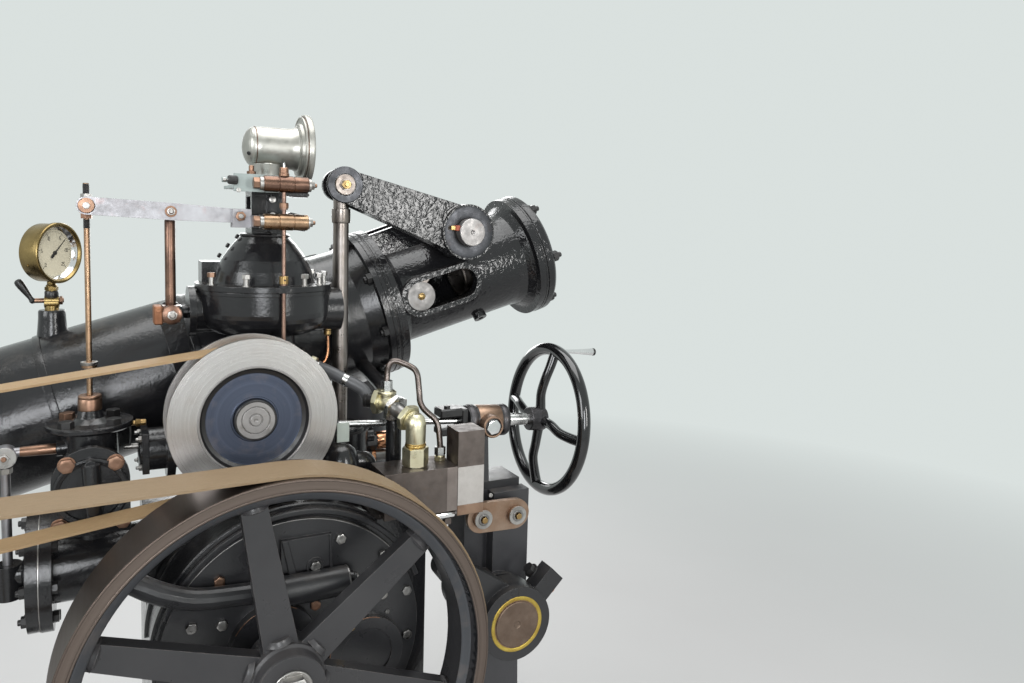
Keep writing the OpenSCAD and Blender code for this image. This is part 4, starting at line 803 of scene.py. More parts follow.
def gauge():
    """The pressure gauge with its dial, cock and stub."""
    out = Vector((sin(GAUGE_TURN), -cos(GAUGE_TURN), 0))
    right = Vector((cos(GAUGE_TURN), sin(GAUGE_TURN), 0))
    m = frame_from(GAUGE, right, Z, out)
    brass, ink, dial = on("cock_brass"), on("dial_ink"), on("dial")
    case = on("cock_brass", part="case")
    case.lathe(m, [(0, -22.5), (57, -22.5), (59, -21.4), (60, -19), (60, 14), (62, 14.6), (62, 21),
        (57, 21), (56.4, 16), (50, 8), (0, 8)], 88)
    dial.lathe(m, [(0, 9), (48.6, 9), (48.6, 8), (0, 8)], 72)
    brass.lathe(m, [(54, 17.6), (55, 20.4), (58, 22.9), (61.4, 22.8), (62.6, 21), (62.6, 13.4),
        (60.6, 12.6), (60, 12)], 80, True)
    on("chrome").lathe(m,
        [(47.6, 9), (48.2, 9.8), (56.8, 20.8), (57.8, 21.4), (57.2, 17), (49.4, 8)], 72, True)
    divisions(ink, m, 51, 10, 45, (6, 3), (0.5, 0.25), (9, 9.2, 0.03))
    for k, label in enumerate(("0", "5", "10", "15", "20", "25")):
        a = radians(DIAL_START - 54 * k)
        cx, cy = 33.5 * cos(a), 33.5 * sin(a)
        wide = 4.6 * len(label)
        for i, ch in enumerate(label):
            for (x0, y0), (x1, y1) in digit_strokes(ch):
                x, yy = cx - wide / 2 + 4.6 * i, cy - 3.6
                lo = (x + min(x0, x1) * 1.05 - 0.45, yy + min(y0, y1) * 1.4 - 0.45)
                hi = (x + max(x0, x1) * 1.05 + 0.45, yy + max(y0, y1) * 1.4 + 0.45)
                ink.prism(m, [lo, (hi[0], lo[1]), hi, (lo[0], hi[1])], 9, 9.2, 0.03)
    a = radians(44)
    hand = m @ Matrix.Rotation(a, 4, "Z")
    ink.prism(hand, [(-14, -3), (-8, -3.4), (0, -1.6), (38, -0.5), (41, 0), (38, 0.5), (0, 1.6), (-8, 3.4),
        (-14, 3)], 10.4, 11, 0.1)
    ink.lathe(hand, [(4.2, 9), (4.2, 11.8), (3, 12.4), (0, 12.4)], 24)
    for low in (205, 335):
        around = radians(low)
        spoke = right * cos(around) + Z * sin(around)
        brass.slotted(tuple(Vector(GAUGE) + spoke * 59.6 - out * 6), spoke, 2.6, 2)
    # cock: nuts, body, union
    g = GAUGE[:2]
    dark = on("bolt_black")
    brass.lathe(at(*g, 1293), [(6, 0), (10, 0.6), (10.6, 5), (8, 8), (8.4, 11), (0, 11)], 28)
    brass.hexagon(at(*g, 1288, Z, 10), 22, 8, both=True)
    dark.lathe(at(*g, 1272), [(9, 0), (12.4, 1.4), (13, 5), (13, 13), (12, 15), (9, 16)], 32)
    brass.lathe(at(GAUGE[0] - 14, GAUGE[1], 1262, X), [(8, 0), (10.6, 1), (10.6, 26), (8, 28)], 28)
    brass.hexagon(at(*g, 1243, Z, 20), 24, 9, both=True)
    brass.lathe(at(*g, 1251), [(12, 0), (9, 2), (8.6, 10), (8, 22)], 28)
    stub = on("gloss_black")
    stub.lathe(at(*g, 1180), [(30, 0), (28.6, 14), (27, 30), (25.4, 52), (25.2, 64), (23.6, 67.5),
        (14, 67.8)], 48)
    lever = on("handle_black", "cock_plug")
    tilt = Vector((-sin(radians(32)), 0, cos(radians(32))))
    lever.lathe(at(GAUGE[0] - 34, GAUGE[1], 1267, tilt),
        [(0, -6.5), (4.6, -4.6), (6.5, 0), (5.2, 4), (4.8, 8), (5.6, 14), (8, 34), (8.4, 43), (7.2, 48),
        (4, 50.6), (0, 51.2)], 28)
    arm = on("bolt_copper", "cock_plug")
    arm.lathe(at(GAUGE[0] - 36, GAUGE[1], 1267, X), [(0, 0), (5, 0.4), (5, 57), (4, 58), (0, 58)], 24)
    arm.hexagon(at(GAUGE[0] + 14, GAUGE[1], 1267, X, 10), 16, 6)


# ---------------------------------------------------------------- pulley, big wheel and belts
def front_of(x, y, z):
    """A frame on a face that looks to the front: local X right, local Y up."""
    return frame_from((x, y, z), X, Z, -Y)


def pulley():
    """Web, rims and hub of the governor pulley."""
    m = front_of(PULLEY[0], PULLEY_FRONT, PULLEY[1])
    web = on("web_blue", "pulley")
    web.lathe(m, [(33, -13.9), (33, -13.2), (37, -13.2), (38.2, -11.6), (40.6, -11.6), (42, -13),
        (62, -13.2), (83.6, -13), (84.6, -12.2), (84.6, -13.9)], 88, True)
    # painted shade: the black ring on the sloping wall between web and flange darkens the web's recessed rim
    dark = on("bolt_black", "pulley")
    dark.lathe(m, [(84.6, -13.8), (84.6, -11.8), (91, -9.4), (94.8, -2.2), (95.4, -13.8)], 88, True)
    steel = on("disc_steel", "pulley")
    steel.lathe(m, [(95, -3), (95.4, -0.4), (96.2, 0.5), (98.6, 0.5), (99.4, 0), (98, -2)], 88, True)
    steel.lathe(m, [(30, -12), (36.4, -11.4), (36.6, -1.2), (35.6, 0), (25.6, 0.1), (24.8, -0.8),
        (24.6, -2.4), (30, -2.6)], 64, True)
    dark.lathe(m,
        [(33.4, -0.4), (33.4, 0.5), (36, 0.5), (37.2, -0.8), (37.2, -11.6), (36, -11.6)], 64, True)
    steel.lathe(m, [(24, -2.6), (24, -0.6), (23, 0.1), (12.6, 0.1), (11.6, -0.7), (10.4, -0.7), (10.2, 1),
        (9.2, 1.8), (3.6, 1.8), (2.4, 0.4), (0, 0.2)], 56)


def wheel():
    """Rim edges, hub and arm roots of the big wheel."""
    m = front_of(WHEEL[0], WHEEL_FRONT, WHEEL[1])
    grey = on("rim_grey", "wheel")
    grey.lathe(m, [(333.6, -0.5), (329.8, -21.4), (312.6, -27.3), (311.7, -28.4), (329, -22.6),
        (332.7, -0.9)], 160, True)
    pale = on("rim_iron", "wheel")
    pale.lathe(m, [(331.6, -1.4), (333.4, 0.7), (336, 0.9), (337, 0.1), (335, -0.6)], 160, True)
    pale.lathe(m, [(350.6, 0.1), (351.4, 0.9), (353.2, 0.7), (353.9, -0.5), (352, -0.6)], 160, True)
    hub = front_of(WHEEL[0], -342, WHEEL[1])
    iron = on("bolt_steel", "wheel")
    iron.lathe(hub, [(26, -0.5), (33, 0), (33.6, 1), (33.6, 4.4), (32.6, 5.4), (26, 5.4)], 56, True)
    iron.hexagon(hub, 52, 18, 5.4)
    iron.lathe(hub, [(17, 22), (17, 29.6), (15, 31.6), (3, 31.6), (1.6, 29.6), (0, 29.4)], 40)
    black = on("wheel_dark", "wheel")
    black.lathe(hub, [(54, -0.6), (56.6, -3), (56.6, -20), (58.2, -26), (62.5, -30), (62.5, -44),
        (55, -44)], 72, True)
    for k in range(6):
        a = radians(80 + 60 * k)
        for r, size in ((66, 6), (306, 8)):
            p = (WHEEL[0] + r * cos(a), -291, WHEEL[1] - r * sin(a))
            black.lathe(at(*p, Vector((cos(a), 0, -sin(a)))),
                [(20, -size), (26, -size / 2), (22, size * 0.4), (21, size)], 24)


def arc_points(r, a0, a1, n):
    return [polar(r, radians(a0 + (a1 - a0) * i / n)) for i in range(n + 1)]


def arc_bar(group, m, r0, r1, a0, a1, z0, z1, bevel=1.0, n=60):
    """A bar bent to an arc from a0 to a1 degrees, between the radii r0 and r1."""
    group.prism(m, arc_points(r1, a0, a1, n) + arc_points(r0, a1, a0, n), z0, z1, bevel)


COVER_BOLTS = [
    (-65, 858, "bolt_steel"), (68, 857, "bolt_steel"), (152, 811, "bolt_steel"), (-146, 815, "bolt_copper"),
    (151, 733, "bolt_steel"), (200, 731, "bolt_grey"), (-142, 735, "bolt_steel"), (202, 641, "bolt_grey"),
    (152, 642, "bolt_grey"), (156, 566, "bolt_steel"), (-192, 740, "bolt_grey"), (-190, 653, "bolt_grey"),
    (-205, 580, "bolt_grey"), (-160, 515, "bolt_grey"), (140, 500, "bolt_grey"), (40, 458,
        "bolt_grey"), (-66, 458, "bolt_grey"),
]


def cover():
    """Bolts, painted edge highlights and raised rims of the pump cover, and the suction arm."""
    for i, (x, z, finish) in enumerate(COVER_BOLTS):
        on(finish).bolt((x, COVER_FRONT, z), -Y, 17, 8.5, turn=11 * i)
    steel = on("bolt_grey")
    steel.bolt((19, COVER_FRONT - 10, 817), -Y, 17, 8.5, turn=4)
    on("bolt_copper").bolt((19, COVER_FRONT - 10, 743), -Y, 17, 8.5, turn=20)
    black = on("cover_black")
    ring = front_of(19, COVER_FRONT - 10, 817)
    black.lathe(ring, [(12.6, -0.5), (13, 1.1), (15.6, 1.3), (16.4, -0.5)], 48, True)
    brass = on("bolt_brass")
    brass.slotted((87, COVER_FRONT - 16, 686), -Y, 6, 4, 40)
    brass.slotted((-160, COVER_FRONT, 693), -Y, 5, 3, 15)
    on("bolt_grey").slotted((162, COVER_FRONT, 694), -Y, 4.6, 3, 70)
    # painted highlights: thin bright arcs on the upper edges of the two bearing covers and of the round cover
    wear_and_highlight = on("bolt_copper")
    arc_bar(wear_and_highlight, front_of(117, COVER_FRONT - 16, 626), 70.6, 72.3, 70, 175, -0.6, 0.5, 0.2, 30)
    arc_bar(wear_and_highlight, front_of(WHEEL[0], COVER_FRONT - 22, WHEEL[1]), 76.6, 78.3, 60, 150, -0.6, 0.5, 0.2, 30)
    edge = on("bolt_grey")
    arc_bar(edge, front_of(COVER[0], COVER_FRONT, COVER[1]), 234.8, 236.3, 38, 150, -0.8, 0.35, 0.2, 70)
    m = front_of(-4, -165, COVER[1])
    arc_bar(black, m, 239, 249.4, 20, 160, -3, 5, 1.6, 70)
    arc_bar(on("gloss_black"), front_of(-4, -146, COVER[1]), 244, 255.5, 0, 180, -14, 4, 2.5, 80)
    arc_bar(on("gloss_black"), front_of(-4, -30, COVER[1]), 244, 255.5, 0, 180, -14, 14, 3, 80)
    # cast fold beside the raised plate
    fold = front_of(0, COVER_FRONT, 0)
    black.prism(fold, [(-42, 872), (-30, 872), (-14, 806), (-20, 800), (-27, 800)], -1, 13, 1.2)
    black.prism(fold, [(44, 872), (49, 872), (52, 800), (46, 800)], -1, 12, 1.2)
    # suction arm: collar, sleeve end, plug
    m = at(-60, -202, 784, X)
    arm = on("gloss_black")
    arm.lathe(m, [(20, 2), (27.4, 3), (28.2, 5), (28.2, 8), (27, 9.6), (28.2, 11.4), (28.2, 15), (27.2, 17),
        (27.2, 20), (20, 22)], 56, True)
    on("bolt_grey").lathe(m,
        [(24.5, 136.5), (26.6, 137.4), (27.6, 135.8), (27.6, 134), (26, 134)], 56, True)
    steel = on("bolt_steel")
    arm.lathe(m, [(14, 136), (15.4, 138), (15.4, 146), (13.6, 148), (0, 148)], 40)
    steel.hexagon(at(88, -202, 784, X, 12), 15, 9)
    # bolts on the top of the housing
    for x in (-215, 205):
        arm.bolt((x, -120, 882 if x < 0 else 875), Z, 20, 10, washer=14)


def front_small():
    """Pieces that show between the pulley, the valve block and the column."""
    black = on("gloss_black")
    steel = on("bolt_steel")
    black.lathe(at(100, -60, 880),
        [(44, 0), (42, 30), (40, 66), (37, 92), (29, 112), (16, 122), (0, 125)], 48)
    black.tube([(100, -60, 960), (140, -58, 962), (156, -56, 950), (160, -54, 900)], 21, 24, 6)
    on("plate_pale").block((92, -66, 1006), (117, -63, 1046), 1.2)
    black.tube([(212, -60, 872), (212, -60, 1020), (212, -50, 1062), (216, -10, 1084), (221, 90, 1098),
        (225, 208, 1114)], 16, 28, 8)
    black.lathe(at(212, -60, 875), [(20, 0), (26, 0.6), (27, 3), (27, 10), (25, 12), (20, 12)], 40, True)
    # copper ports of the servo cylinder
    copper = on("copper_ring")
    hexes, grey = on("bolt_black"), on("bolt_grey")
    for z, r, start, face, end, pipe in ((947, 20, 196, 234, 262, 264), (912, 17.6, 188, 208, 233, 263)):
        hexes.hexagon(at(start, 128, z, X, 14), 2 * r - 2, face - start, both=True)
        m = at(face, 128, z, X)
        copper.lathe(m, [(r - 4, 0), (r - 0.6, 0.6), (r, 2.4), (r, end - face - 3), (r - 1, end - face - 1),
            (r - 4, end - face)], 48, True)
        grey.lathe(m,
            [(r - 4, 2), (r - 4.4, pipe - face), (r - 6, pipe - face + 1), (0, pipe - face + 1)], 40)
    # drain elbow with its copper tube under the governor's right boss
    brass = on("bolt_brass")
    m = at(102, 52, 1232, -Z)
    brass.lathe(m, [(9, -12), (9, 2), (7, 3), (7, 9)], 28)
    brass.hexagon(m, 18, 9, 4, both=True)
    brass.lathe(m, [(6, 13), (7.6, 15), (7.6, 22), (5.6, 25), (3.6, 26)], 28)
    on("copper_ring").tube([(102, 52, 1208), (103, 52, 1188), (102, 51, 1168), (96, 49, 1154),
        (84, 46, 1145), (64, 42, 1140)], 3.2, 14, 6)
    steel.lathe(at(109.5, 60, 1264, X),
        [(32, 14.8), (34.8, 15.4), (36.4, 17.4), (35, 19.2), (32, 19.4)], 56, True)


# ---------------------------------------------------------------- pressure line with its fittings
def line():
    """The fittings, hose and steel tube on the valve block."""
    zinc, brass = on("zinc"), on("line_brass")
    silver, rubber = on("line_silver"), on("rubber")
    foot = (231, -138)
    zinc.hexagon(at(*foot, 965, Z, 47), 46, 38, both=True)
    brass.lathe(at(*foot, 1003), [(12, 0), (20, 0.4), (21.4, 1.8), (21.4, 4), (20, 5.6), (20.6, 6.6),
        (20.6, 8), (12, 8.6)], 48, True)
    corner = Vector((232, -138, 1050))
    tee = Vector((195.9, -60, 1079.1))
    along = (tee - corner).normalized()
    zinc.lathe(at(*foot, 1010), [(14, 0), (19.4, 0.6), (20, 3), (20.4, 38), (19.6, 46), (16, 54),
        (10, 59.4), (0, 61)], 48)
    zinc.lathe(at(*corner, along), [(0, -2), (20, 0), (20.4, 14), (19, 17), (12, 18)], 48)
    zinc.hexagon(at(*corner + along * 18, along, 8), 50, 12, both=True)
    m = at(*corner + along * 31, along)
    brass.lathe(m, [(12, 0), (19, 0.5), (19.6, 1.6), (18, 3.4), (12, 4)], 44, True)
    on("bolt_grey").lathe(m, [(15.8, 2), (15.8, 30)], 40)
    silver.hexagon(at(*corner + along * 58, along, 22), 52, 12, both=True)
    zinc.lathe(at(*corner + along * 69, along),
        [(12, 0), (18, 1), (19.4, 6), (19.4, 26), (17, 34), (12, 36)], 44)
    zinc.lathe(at(*tee), [(12, 0), (17, 8), (17.4, 18), (20, 19), (20, 22.6), (18, 24), (9, 24.4)], 40)
    silver.hexagon(at(*tee + Z * 24, Z, -12), 21, 22, both=True)
    back = (Vector((175, -40, 1080)) - tee).normalized()
    zinc.lathe(at(*tee, back), [(12, 0), (18, 6), (18, 16)], 40)
    zinc.hexagon(at(*tee + back * 13, back, 5), 48, 12, both=True)
    ferrule = on("bolt_black")
    ferrule.lathe(at(*tee + back * 25, back),
        [(13, 0), (17, 0.8), (17, 4), (15.4, 5), (15.4, 14), (17, 15), (17, 21), (15.6, 22.4), (13, 23)], 44)
    curve = [tuple(tee + back * 40), (159, -20, 1099.2), (143, -12, 1111), (124.7, -4, 1120.8),
        (109, 5, 1129.5), (94.2, 14, 1137.2), (72.4, 28, 1147), (56, 36, 1155)]
    rubber.tube(curve, 12.6, 32, 8)
    for p, d in (((124.7, -4, 1120.8), Vector((-0.85, 0.42, 0.46))),
            ((72.4, 28, 1147), Vector((-0.81, 0.46, 0.38)))):
        silver.lathe(at(*p, d.normalized()),
            [(12, -6), (13.6, -5.4), (13.6, -3.4), (13, -2.6), (13, 2.6), (13.6, 3.4), (13.6, 5.4),
            (12, 6)], 40, True)
    zinc.hexagon(at(70, 29, 1148, Vector((-0.81, 0.46, 0.38)), 12), 34, 12, both=True)
    steel = on("tube_steel")
    steel.tube([(tee.x, tee.y, tee.z + 40), (197.6, -57, 1138), (200, -57.4, 1152.5), (205.7, -59, 1162.3),
        (215, -62, 1164.3), (228.8, -68, 1159.5),
                (241.2, -75, 1153.3), (248.9, -82, 1146.8), (252.2, -88, 1136.1), (253, -92.5,
                    1118), (253.5, -97, 1099), (254.5, -99, 1084),
                (260, -102.5, 1071), (270, -107.5, 1060), (280.5, -112.5, 1050), (286.8, -117, 1037), (289,
                    -121, 1016), (290, -124, 994), (290, -124, 980)], 6.2, 20, 5)
    zinc.hexagon(at(290, -124, 965, Z, 7), 22, 9, both=True)
    zinc.lathe(at(290, -124, 973), [(7, 0), (9, 0.6), (9.6, 2), (9, 4)], 30)
    silver.hexagon(at(290, -124, 976, Z, -12), 20, 17, both=True)


# ---------------------------------------------------------------- nozzle, yoke and rocking lever
def nozzle():
    """Bolts and raised rims of the nozzle pipe and yoke, and the crosshead's disc."""
    black = on("bolt_black")
    bolt_circle(black, frame_turned(on_nozzle(-24)), 167,
        [-(a) + 180 for a in (-120, -75, -30, 15, 60, 105, 150, -165)], 22, 12, stud=6)
    cover = on_nozzle(YOKE_LEN + 1.5)
    bolt_circle(black, cover, 138, [-147.5 + 60 * k for k in range(6)], 24, 14, washer=15, stud=11)
    gloss = on("cast_black")
    joint = on_nozzle(0)
    gloss.lathe(joint, [(JOINT_R - 6, 2), (JOINT_R + 1.4, 3.6), (JOINT_R + 1.4, 9), (JOINT_R - 1, 11.4),
        (JOINT_R - 6, 12)], 120, True)
    gloss.lathe(joint, [(JOINT_R - 6, -12), (JOINT_R + 1.4, -10), (JOINT_R + 1.4, -2.4),
        (JOINT_R - 6, -1.6)], 120, True)
    gloss.lathe(joint, [(140, 23), (152, 24), (152, 29), (147, 33), (138, 36)], 100, True)
    end = on_nozzle(YOKE_LEN - 26)
    gloss.lathe(end, [(150, -7), (158.8, -5.4), (158.8, -1.2), (157.4, 0.2), (150, 0.4)], 110, True)
    gloss.lathe(end, [(150, 1), (157.4, 1.4), (158.8, 3.2), (158.8, 17), (150, 20)], 110, True)
    steel = on("shaft_steel")
    steel.lathe(on_nozzle(262), [(64, 0), (66, -4), (84, -5), (88, -1), (88, 34), (64, 36)], 90, True)
    steel.lathe(on_nozzle(238), [(50, 0), (52, -2), (58, -2), (60, 1), (60, 30), (50, 30)], 80, True)
    # flange at the hidden end of the pipe: a raised face
    gloss.lathe(on_nozzle(-1020),
        [(151, -0.5), (151, -2.6), (155, -3), (160, -2), (160, 2), (151, 3)], 110, True)
    # plate on the yoke's far pad
    along, up = Vector((cos(TILT), 0, sin(TILT))), Vector((-sin(TILT), 0, cos(TILT)))
    start = Vector(NOZZLE) + along * 88 + Y * (YOKE_R + 5)
    pad = frame_from(tuple(start), along, up, -Y)
    half = [(48 * cos(radians(a)), 48 * sin(radians(a))) for a in range(90, 271, 10)]
    outline = half + [(116 - x, -y) for x, y in half]
    gloss.prism(pad, outline, -7, 0, 1)
    disc = on("bolt_brass", "crosshead_slide")
    c, t = cos(TILT), sin(TILT)
    front = (NOZZLE[0] + 91 * c, NOZZLE[1] - YOKE_R, NOZZLE[2] + 91 * t)
    disc.hexagon(at(*front, -Y, 20), 16, 4)
    disc.lathe(at(*front, -Y), [(7, 3), (6.4, 5.4), (3, 7), (0, 7.4)], 28)
    ring = on("disc_steel", "crosshead_slide")
    ring.lathe(at(*front, -Y),
        [(9, 0.4), (13, 0.9), (26, 0.5), (34, 0.2), (34.8, -1), (34.8, -5), (9, -5)], 64, True)


def frame_turned(m):
    """The same place with local Z the other way round and local X kept."""
    return m @ Matrix.Rotation(pi, 4, "X")


def rocker():
    """Hub, shaft end, key and eye of the rocking lever."""
    x, z = SHAFT
    m = front_of(x, ROCKER_FRONT, z)
    dark = on("hub_dark", "rocker")
    dark.lathe(m, [(33, -3), (33, 0.6), (35, 1.2), (57, 1.2), (60.6, 0.4), (62, -1.6), (62, -6), (50, -6)],
        96, True)
    shaft = on("shaft_end", "rocker")
    shaft.lathe(m, [(31.9, 3), (31.9, 21), (30.4, 23), (5.6, 23), (4.4, 22), (2.4, 19.6), (0, 19.4)], 72)
    on("key_red", "rocker").block((x - 39, ROCKER_FRONT - 16, z + 3), (x - 29, ROCKER_FRONT - 0.5, z + 15), 0.8)
    on("bolt_brass", "rocker").block((x - 50, ROCKER_FRONT - 13, z + 4),
        (x - 39, ROCKER_FRONT - 0.5, z + 14), 0.8)
    ex, ez = EYE
    m = front_of(ex, ROCKER_FRONT, ez)
    dark.lathe(m, [(23, -2), (24, 0.8), (37.6, 0.8), (39.4, -0.8), (39.4, -5), (23, -5)], 72, True)
    on("washer_white", "rocker").lathe(m,
        [(8, 0.5), (8, 2.4), (21, 2.6), (22.4, 1.4), (22.6, -1), (8, -1)], 56, True)
    brass = on("bolt_brass", "rocker")
    brass.hexagon(at(ex, ROCKER_FRONT - 5, ez, -Y, 8), 18, 8)
    brass.lathe(at(ex, ROCKER_FRONT - 13, ez, -Y), [(5.4, -0.5), (5.4, 2), (4.4, 3), (0, 3)], 24)
    # painted highlight: pale arcs on the lit fillet round the cast lever's hub, on its left side
    wear_and_highlight = on("chip_pale", "rocker")
    for a0, a1, r in ((118, 142, 70), (147, 158, 69.6), (164, 171, 70), (196, 203, 69.8)):
        arc_bar(wear_and_highlight, front_of(x, ROCKER_FRONT, z), r - 1.6, r, a0, a1, -0.8, 0.5, 0.2, 14)
    servo = on("shaft_steel", "hanging_rod")
    servo.lathe(at(ex, 128, ez - 58), [(15, -26), (19.5, -24), (20.4, -20), (20.4, 6), (15, 8)], 48, True)


# ---------------------------------------------------------------- hand control
def hand():
    """Handwheel, its bearing, the valve block's plates and the regulating shaft."""
    chrome = on("chrome", "hand_spindle")
    m = on_hand(0)
    on("line_silver", "hand_spindle").lathe(m,
        [(0, -535), (6.4, -535), (7, -534), (7, -213), (13.4, -212.4), (14, -211), (14, -40), (0, -40)], 48)
    rim = on("wheel_black", "hand_spindle")
    turns = [tau * i / 28 for i in range(28)]
    rim.lathe(m, [(HAND_R + 14.4 * cos(a), 14.4 * sin(a)) for a in turns], 112, True)
    for k in range(4):
        spoke = on_hand(0, 6 + 90 * k)
        path = [(14, 0, -17), (34, -2, -19), (62, -3.4, -21), (96, 2.4, -19), (130, 3, -10),
            (HAND_R - 4, 0, -1)]
        rim.tube([tuple((spoke @ (Vector(p) * MM)) / MM) for p in path], lambda u: 12.6 - 6 * u * (1 - u),
            24, 6)
    hub = on("hub_iron", "hand_spindle")
    hub.lathe(m, [(14, -50), (25.2, -50), (26.8, -48.6), (27.2, -45), (27.4, -30), (28.6, -26), (28.6, -14),
        (26, -8), (19, -4.4), (14, -3.6), (14, -1), (0, -1)], 60)
    side = on_hand(0, 7) @ Matrix.Translation((-HAND_R * MM, 0, 0))
    chrome.lathe(side, [(4.4, 6), (4.6, 30), (5.8, 58), (7.6, 86), (8.4, 98), (8.2, 100.6), (0, 101)], 40)
    knob = on("bolt_black", "hand_spindle")
    knob.lathe(side, [(8.2, 99.6), (8.8, 101), (8.8, 105), (7.4, 106.6), (0, 107)], 32)
    knob.lathe(side, [(8, 13), (9, 14.4), (8, 17), (5, 17.4)], 32)
    dark, steel = on("bolt_black"), on("bolt_steel")
    iron = on("hub_iron")
    # forked end and cap of the bearing
    dark.block((334, -22, 1022), (388, 22, 1042), 3)
    dark.block((334, -22, 982), (388, 22, 1000), 3)
    dark.block((384, -24, 984), (400, 24, 1040), 2.5)
    dark.bolt((352, -12, 1042), Z, 13, 7)
    ring = on_hand(-213)
    iron.lathe(ring, [(30, 2), (34.6, 3), (36.4, 6), (36.4, 16), (34.6, 19), (30, 20)], 64, True)
    iron.lathe(ring, [(30, 84), (34.6, 85), (36, 88), (36, 97), (34, 100.6), (20, 101.4), (16, 101.4),
        (16, 99), (30, 98)], 64, True)
    brown = on("brown_steel")
    brown.lathe(ring, [(33.8, 24), (34.9, 26), (34.9, 80), (33.8, 82)], 64, True)
    bolt = at(446, -52, 1002, -Y)
    brown.lathe(bolt, [(18.6, -1), (18.6, 3), (20, 5.4), (23, 5.6), (24.8, 3.8), (25.2, 0), (25.2, -22),
        (18.6, -22)], 56, True)
    on("chrome").hexagon(at(446, -52, 1002, -Y, 10), 30, 8)
    # guide bar and valve block
    white = on("bar_white")
    white.block((306.6, -180.5, 884), (364, -179.6, 962.4), 0.3)
    on("brown_steel").block((306.6, -180.45, 863.4), (364, -179.6, 883.8), 0.3)
    on("block_pale").block((283, -180.4, 875.6), (305.7, -179.6, 964.4), 0.3)
    on("chrome").lathe(at(254, -160, 863, X), [(9.2, 0), (9.4, 1), (9.4, 51), (9.2, 52)], 40)
    for x, z in ((393, 823), (475, 820)):
        steel.washer(at(x, -124, z, -Y), 20.4, 9, 3.4)
        m = at(x, -127.2, z, -Y)
        on("bolt_grey").lathe(m, [(8, -0.4), (12, 0), (12.6, 1.2), (11.6, 2), (8, 2)], 36, True)
        on("bolt_brass").hexagon(at(x, -127, z, -Y, 14 if x < 400 else 35), 12, 7)
    steel.slotted((411, -119, 872), -Y, 4.5, 2.5, 30)
    on("bolt_brass").slotted((368, -112, 884), -Y, 4, 2.5, 10)
    # clamp hub on the regulating shaft
    m = front_of(REG[0], -180, REG[1])
    on("gold_ring").lathe(m,
        [(51, -2), (52.2, 0.4), (54, 1.2), (59, 1.2), (60.4, 0.2), (60.4, -2)], 90, True)
    on("reg_face").lathe(m, [(50, -0.6), (50, 2), (48.4, 3), (8, 3), (6, 1.4), (0, 1)], 80)
    # painted shade: a thin black strip stands for the open slit of the clamp
    gap = on("dial_ink")
    gap.prism(m, [(2, 60), (5, 60), (5, 79), (2, 79)], -0.5, 0.5, 0.1)
    bolt = on("bolt_black")
    bolt.bolt((REG[0] + 52, -145, REG[1] + 94), Vector((-1, 0, 1)).normalized(), 22, 12, washer=16)
    copper = on("copper_ring")
    copper.lathe(at(REG[0] + 96, -145, REG[1] + 50, Vector((1, 0, -1)).normalized()),
        [(8, 0), (9.6, 1), (9.6, 12), (7, 14), (0, 14)], 32)
    bolt.hexagon(at(REG[0] + 96, -145, REG[1] + 50, Vector((1, 0, -1)).normalized(), 9), 21, 9)


# ---------------------------------------------------------------- driving end, outside the photograph
def drive_end():
    """Bearings of the driving shaft, and what shows from the sides and the back."""
    black, gloss = on("bolt_black"), on("gloss_black")
    copper = on("bolt_copper")
    x, z = DRIVE
    for y in (-226, -56):
        for side in (-1, 1):
            lo, hi = sorted((x + side * 40, x + side * 62))
            gloss.block((lo, y + 10, z - 15), (hi, y + 50, z - 1), 2)
            gloss.block((lo, y + 10, z + 1), (hi, y + 50, z + 15), 2)
            for yy in (y + 20, y + 40):
                black.bolt((x + side * 52, yy, z + 15), Z, 13, 8, stud=4)
        copper.lathe(at(x, y + 30, z + 42),
            [(6, 0), (6, 6), (11, 8), (11.6, 11), (11.6, 24), (10.4, 26), (4, 28), (0, 28)], 32)
        for front, sign in ((y, -1), (y + 60, 1)):
            gloss.lathe(at(x, front, z, Y * sign),
                [(22, -2), (22, 1.4), (30, 2), (34, 1), (34, -2)], 56, True)
    steel = on("bolt_steel", "drive_line")
    for y in (-238, -150, -66):
        steel.lathe(at(x, y, z, Y),
            [(20.2, -6), (28, -5.4), (29, -4), (29, 4), (28, 5.4), (20.2, 6)], 56, True)
    rim = on("gloss_black", "drive_line")
    for y in (-345.6, -244.4):
        rim.lathe(at(x, y, z, Y), [(30, -1), (57.6, -1.2), (58, 0), (57.6, 1.2), (30, 1)], 80, True)
    # bands round the pipe, plugs in the housing's right side, bolts and plate on its back
    for s in (-700, -420, -130):
        gloss.lathe(on_nozzle(s), [(PIPE_R - 4, -9), (PIPE_R + 2.4, -7), (PIPE_R + 3, 0), (PIPE_R + 2.4, 7),
            (PIPE_R - 4, 9)], 110, True)
    for y, z2 in ((60, 300), (60, 620)):
        black.hexagon(at(246, y, z2, X, 14), 32, 12)
        gloss.lathe(at(246, y, z2, X), [(16, -2), (24, -1), (25, 1), (24, 4), (16, 5)], 48, True)
    for x2 in (-180, -60, 60, 180):
        black.bolt((x2, 190, 820), Y, 19, 9, washer=13)
        black.bolt((x2, 190, 180), Y, 19, 9, washer=13)
    arc = on("cover_black")
    arc.prism(frame_from((0, 190, 0), -X, Z, Y),
        [(-215, 140), (215, 140), (215, 856), (-215, 856)], -0.5, 5, 2.5)


MAKERS = {
    "head": head, "lever": lever_gear, "valve": valve, "gauge": gauge, "pulley": pulley, "wheel": wheel,
    "cover": cover, "front": front_small, "line": line, "nozzle": nozzle, "rocker": rocker, "hand": hand,
    "drive": drive_end,
}
for Group.part, make in MAKERS.items():
    make()
pieces = {key: group.build() for key, group in Group.made.items()}
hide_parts("pressure_line")
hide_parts("steel_tube")
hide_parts("gauge_case")
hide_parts("cock_handle")
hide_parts("handwheel")


# ---------------------------------------------------------------- camera, light and stage
FOCAL_PX, FRAME_W, FRAME_H = 793.0, 1024, 683
CENTRE_X, CENTRE_Y = 518.0, 294.0
EYE_POINT = P(-330, -1600, 1450)
PITCH, YAW, ROLL = radians(4.97), radians(28.2), radians(1.61)
BACKGROUND = (0.70, 0.75, 0.735)


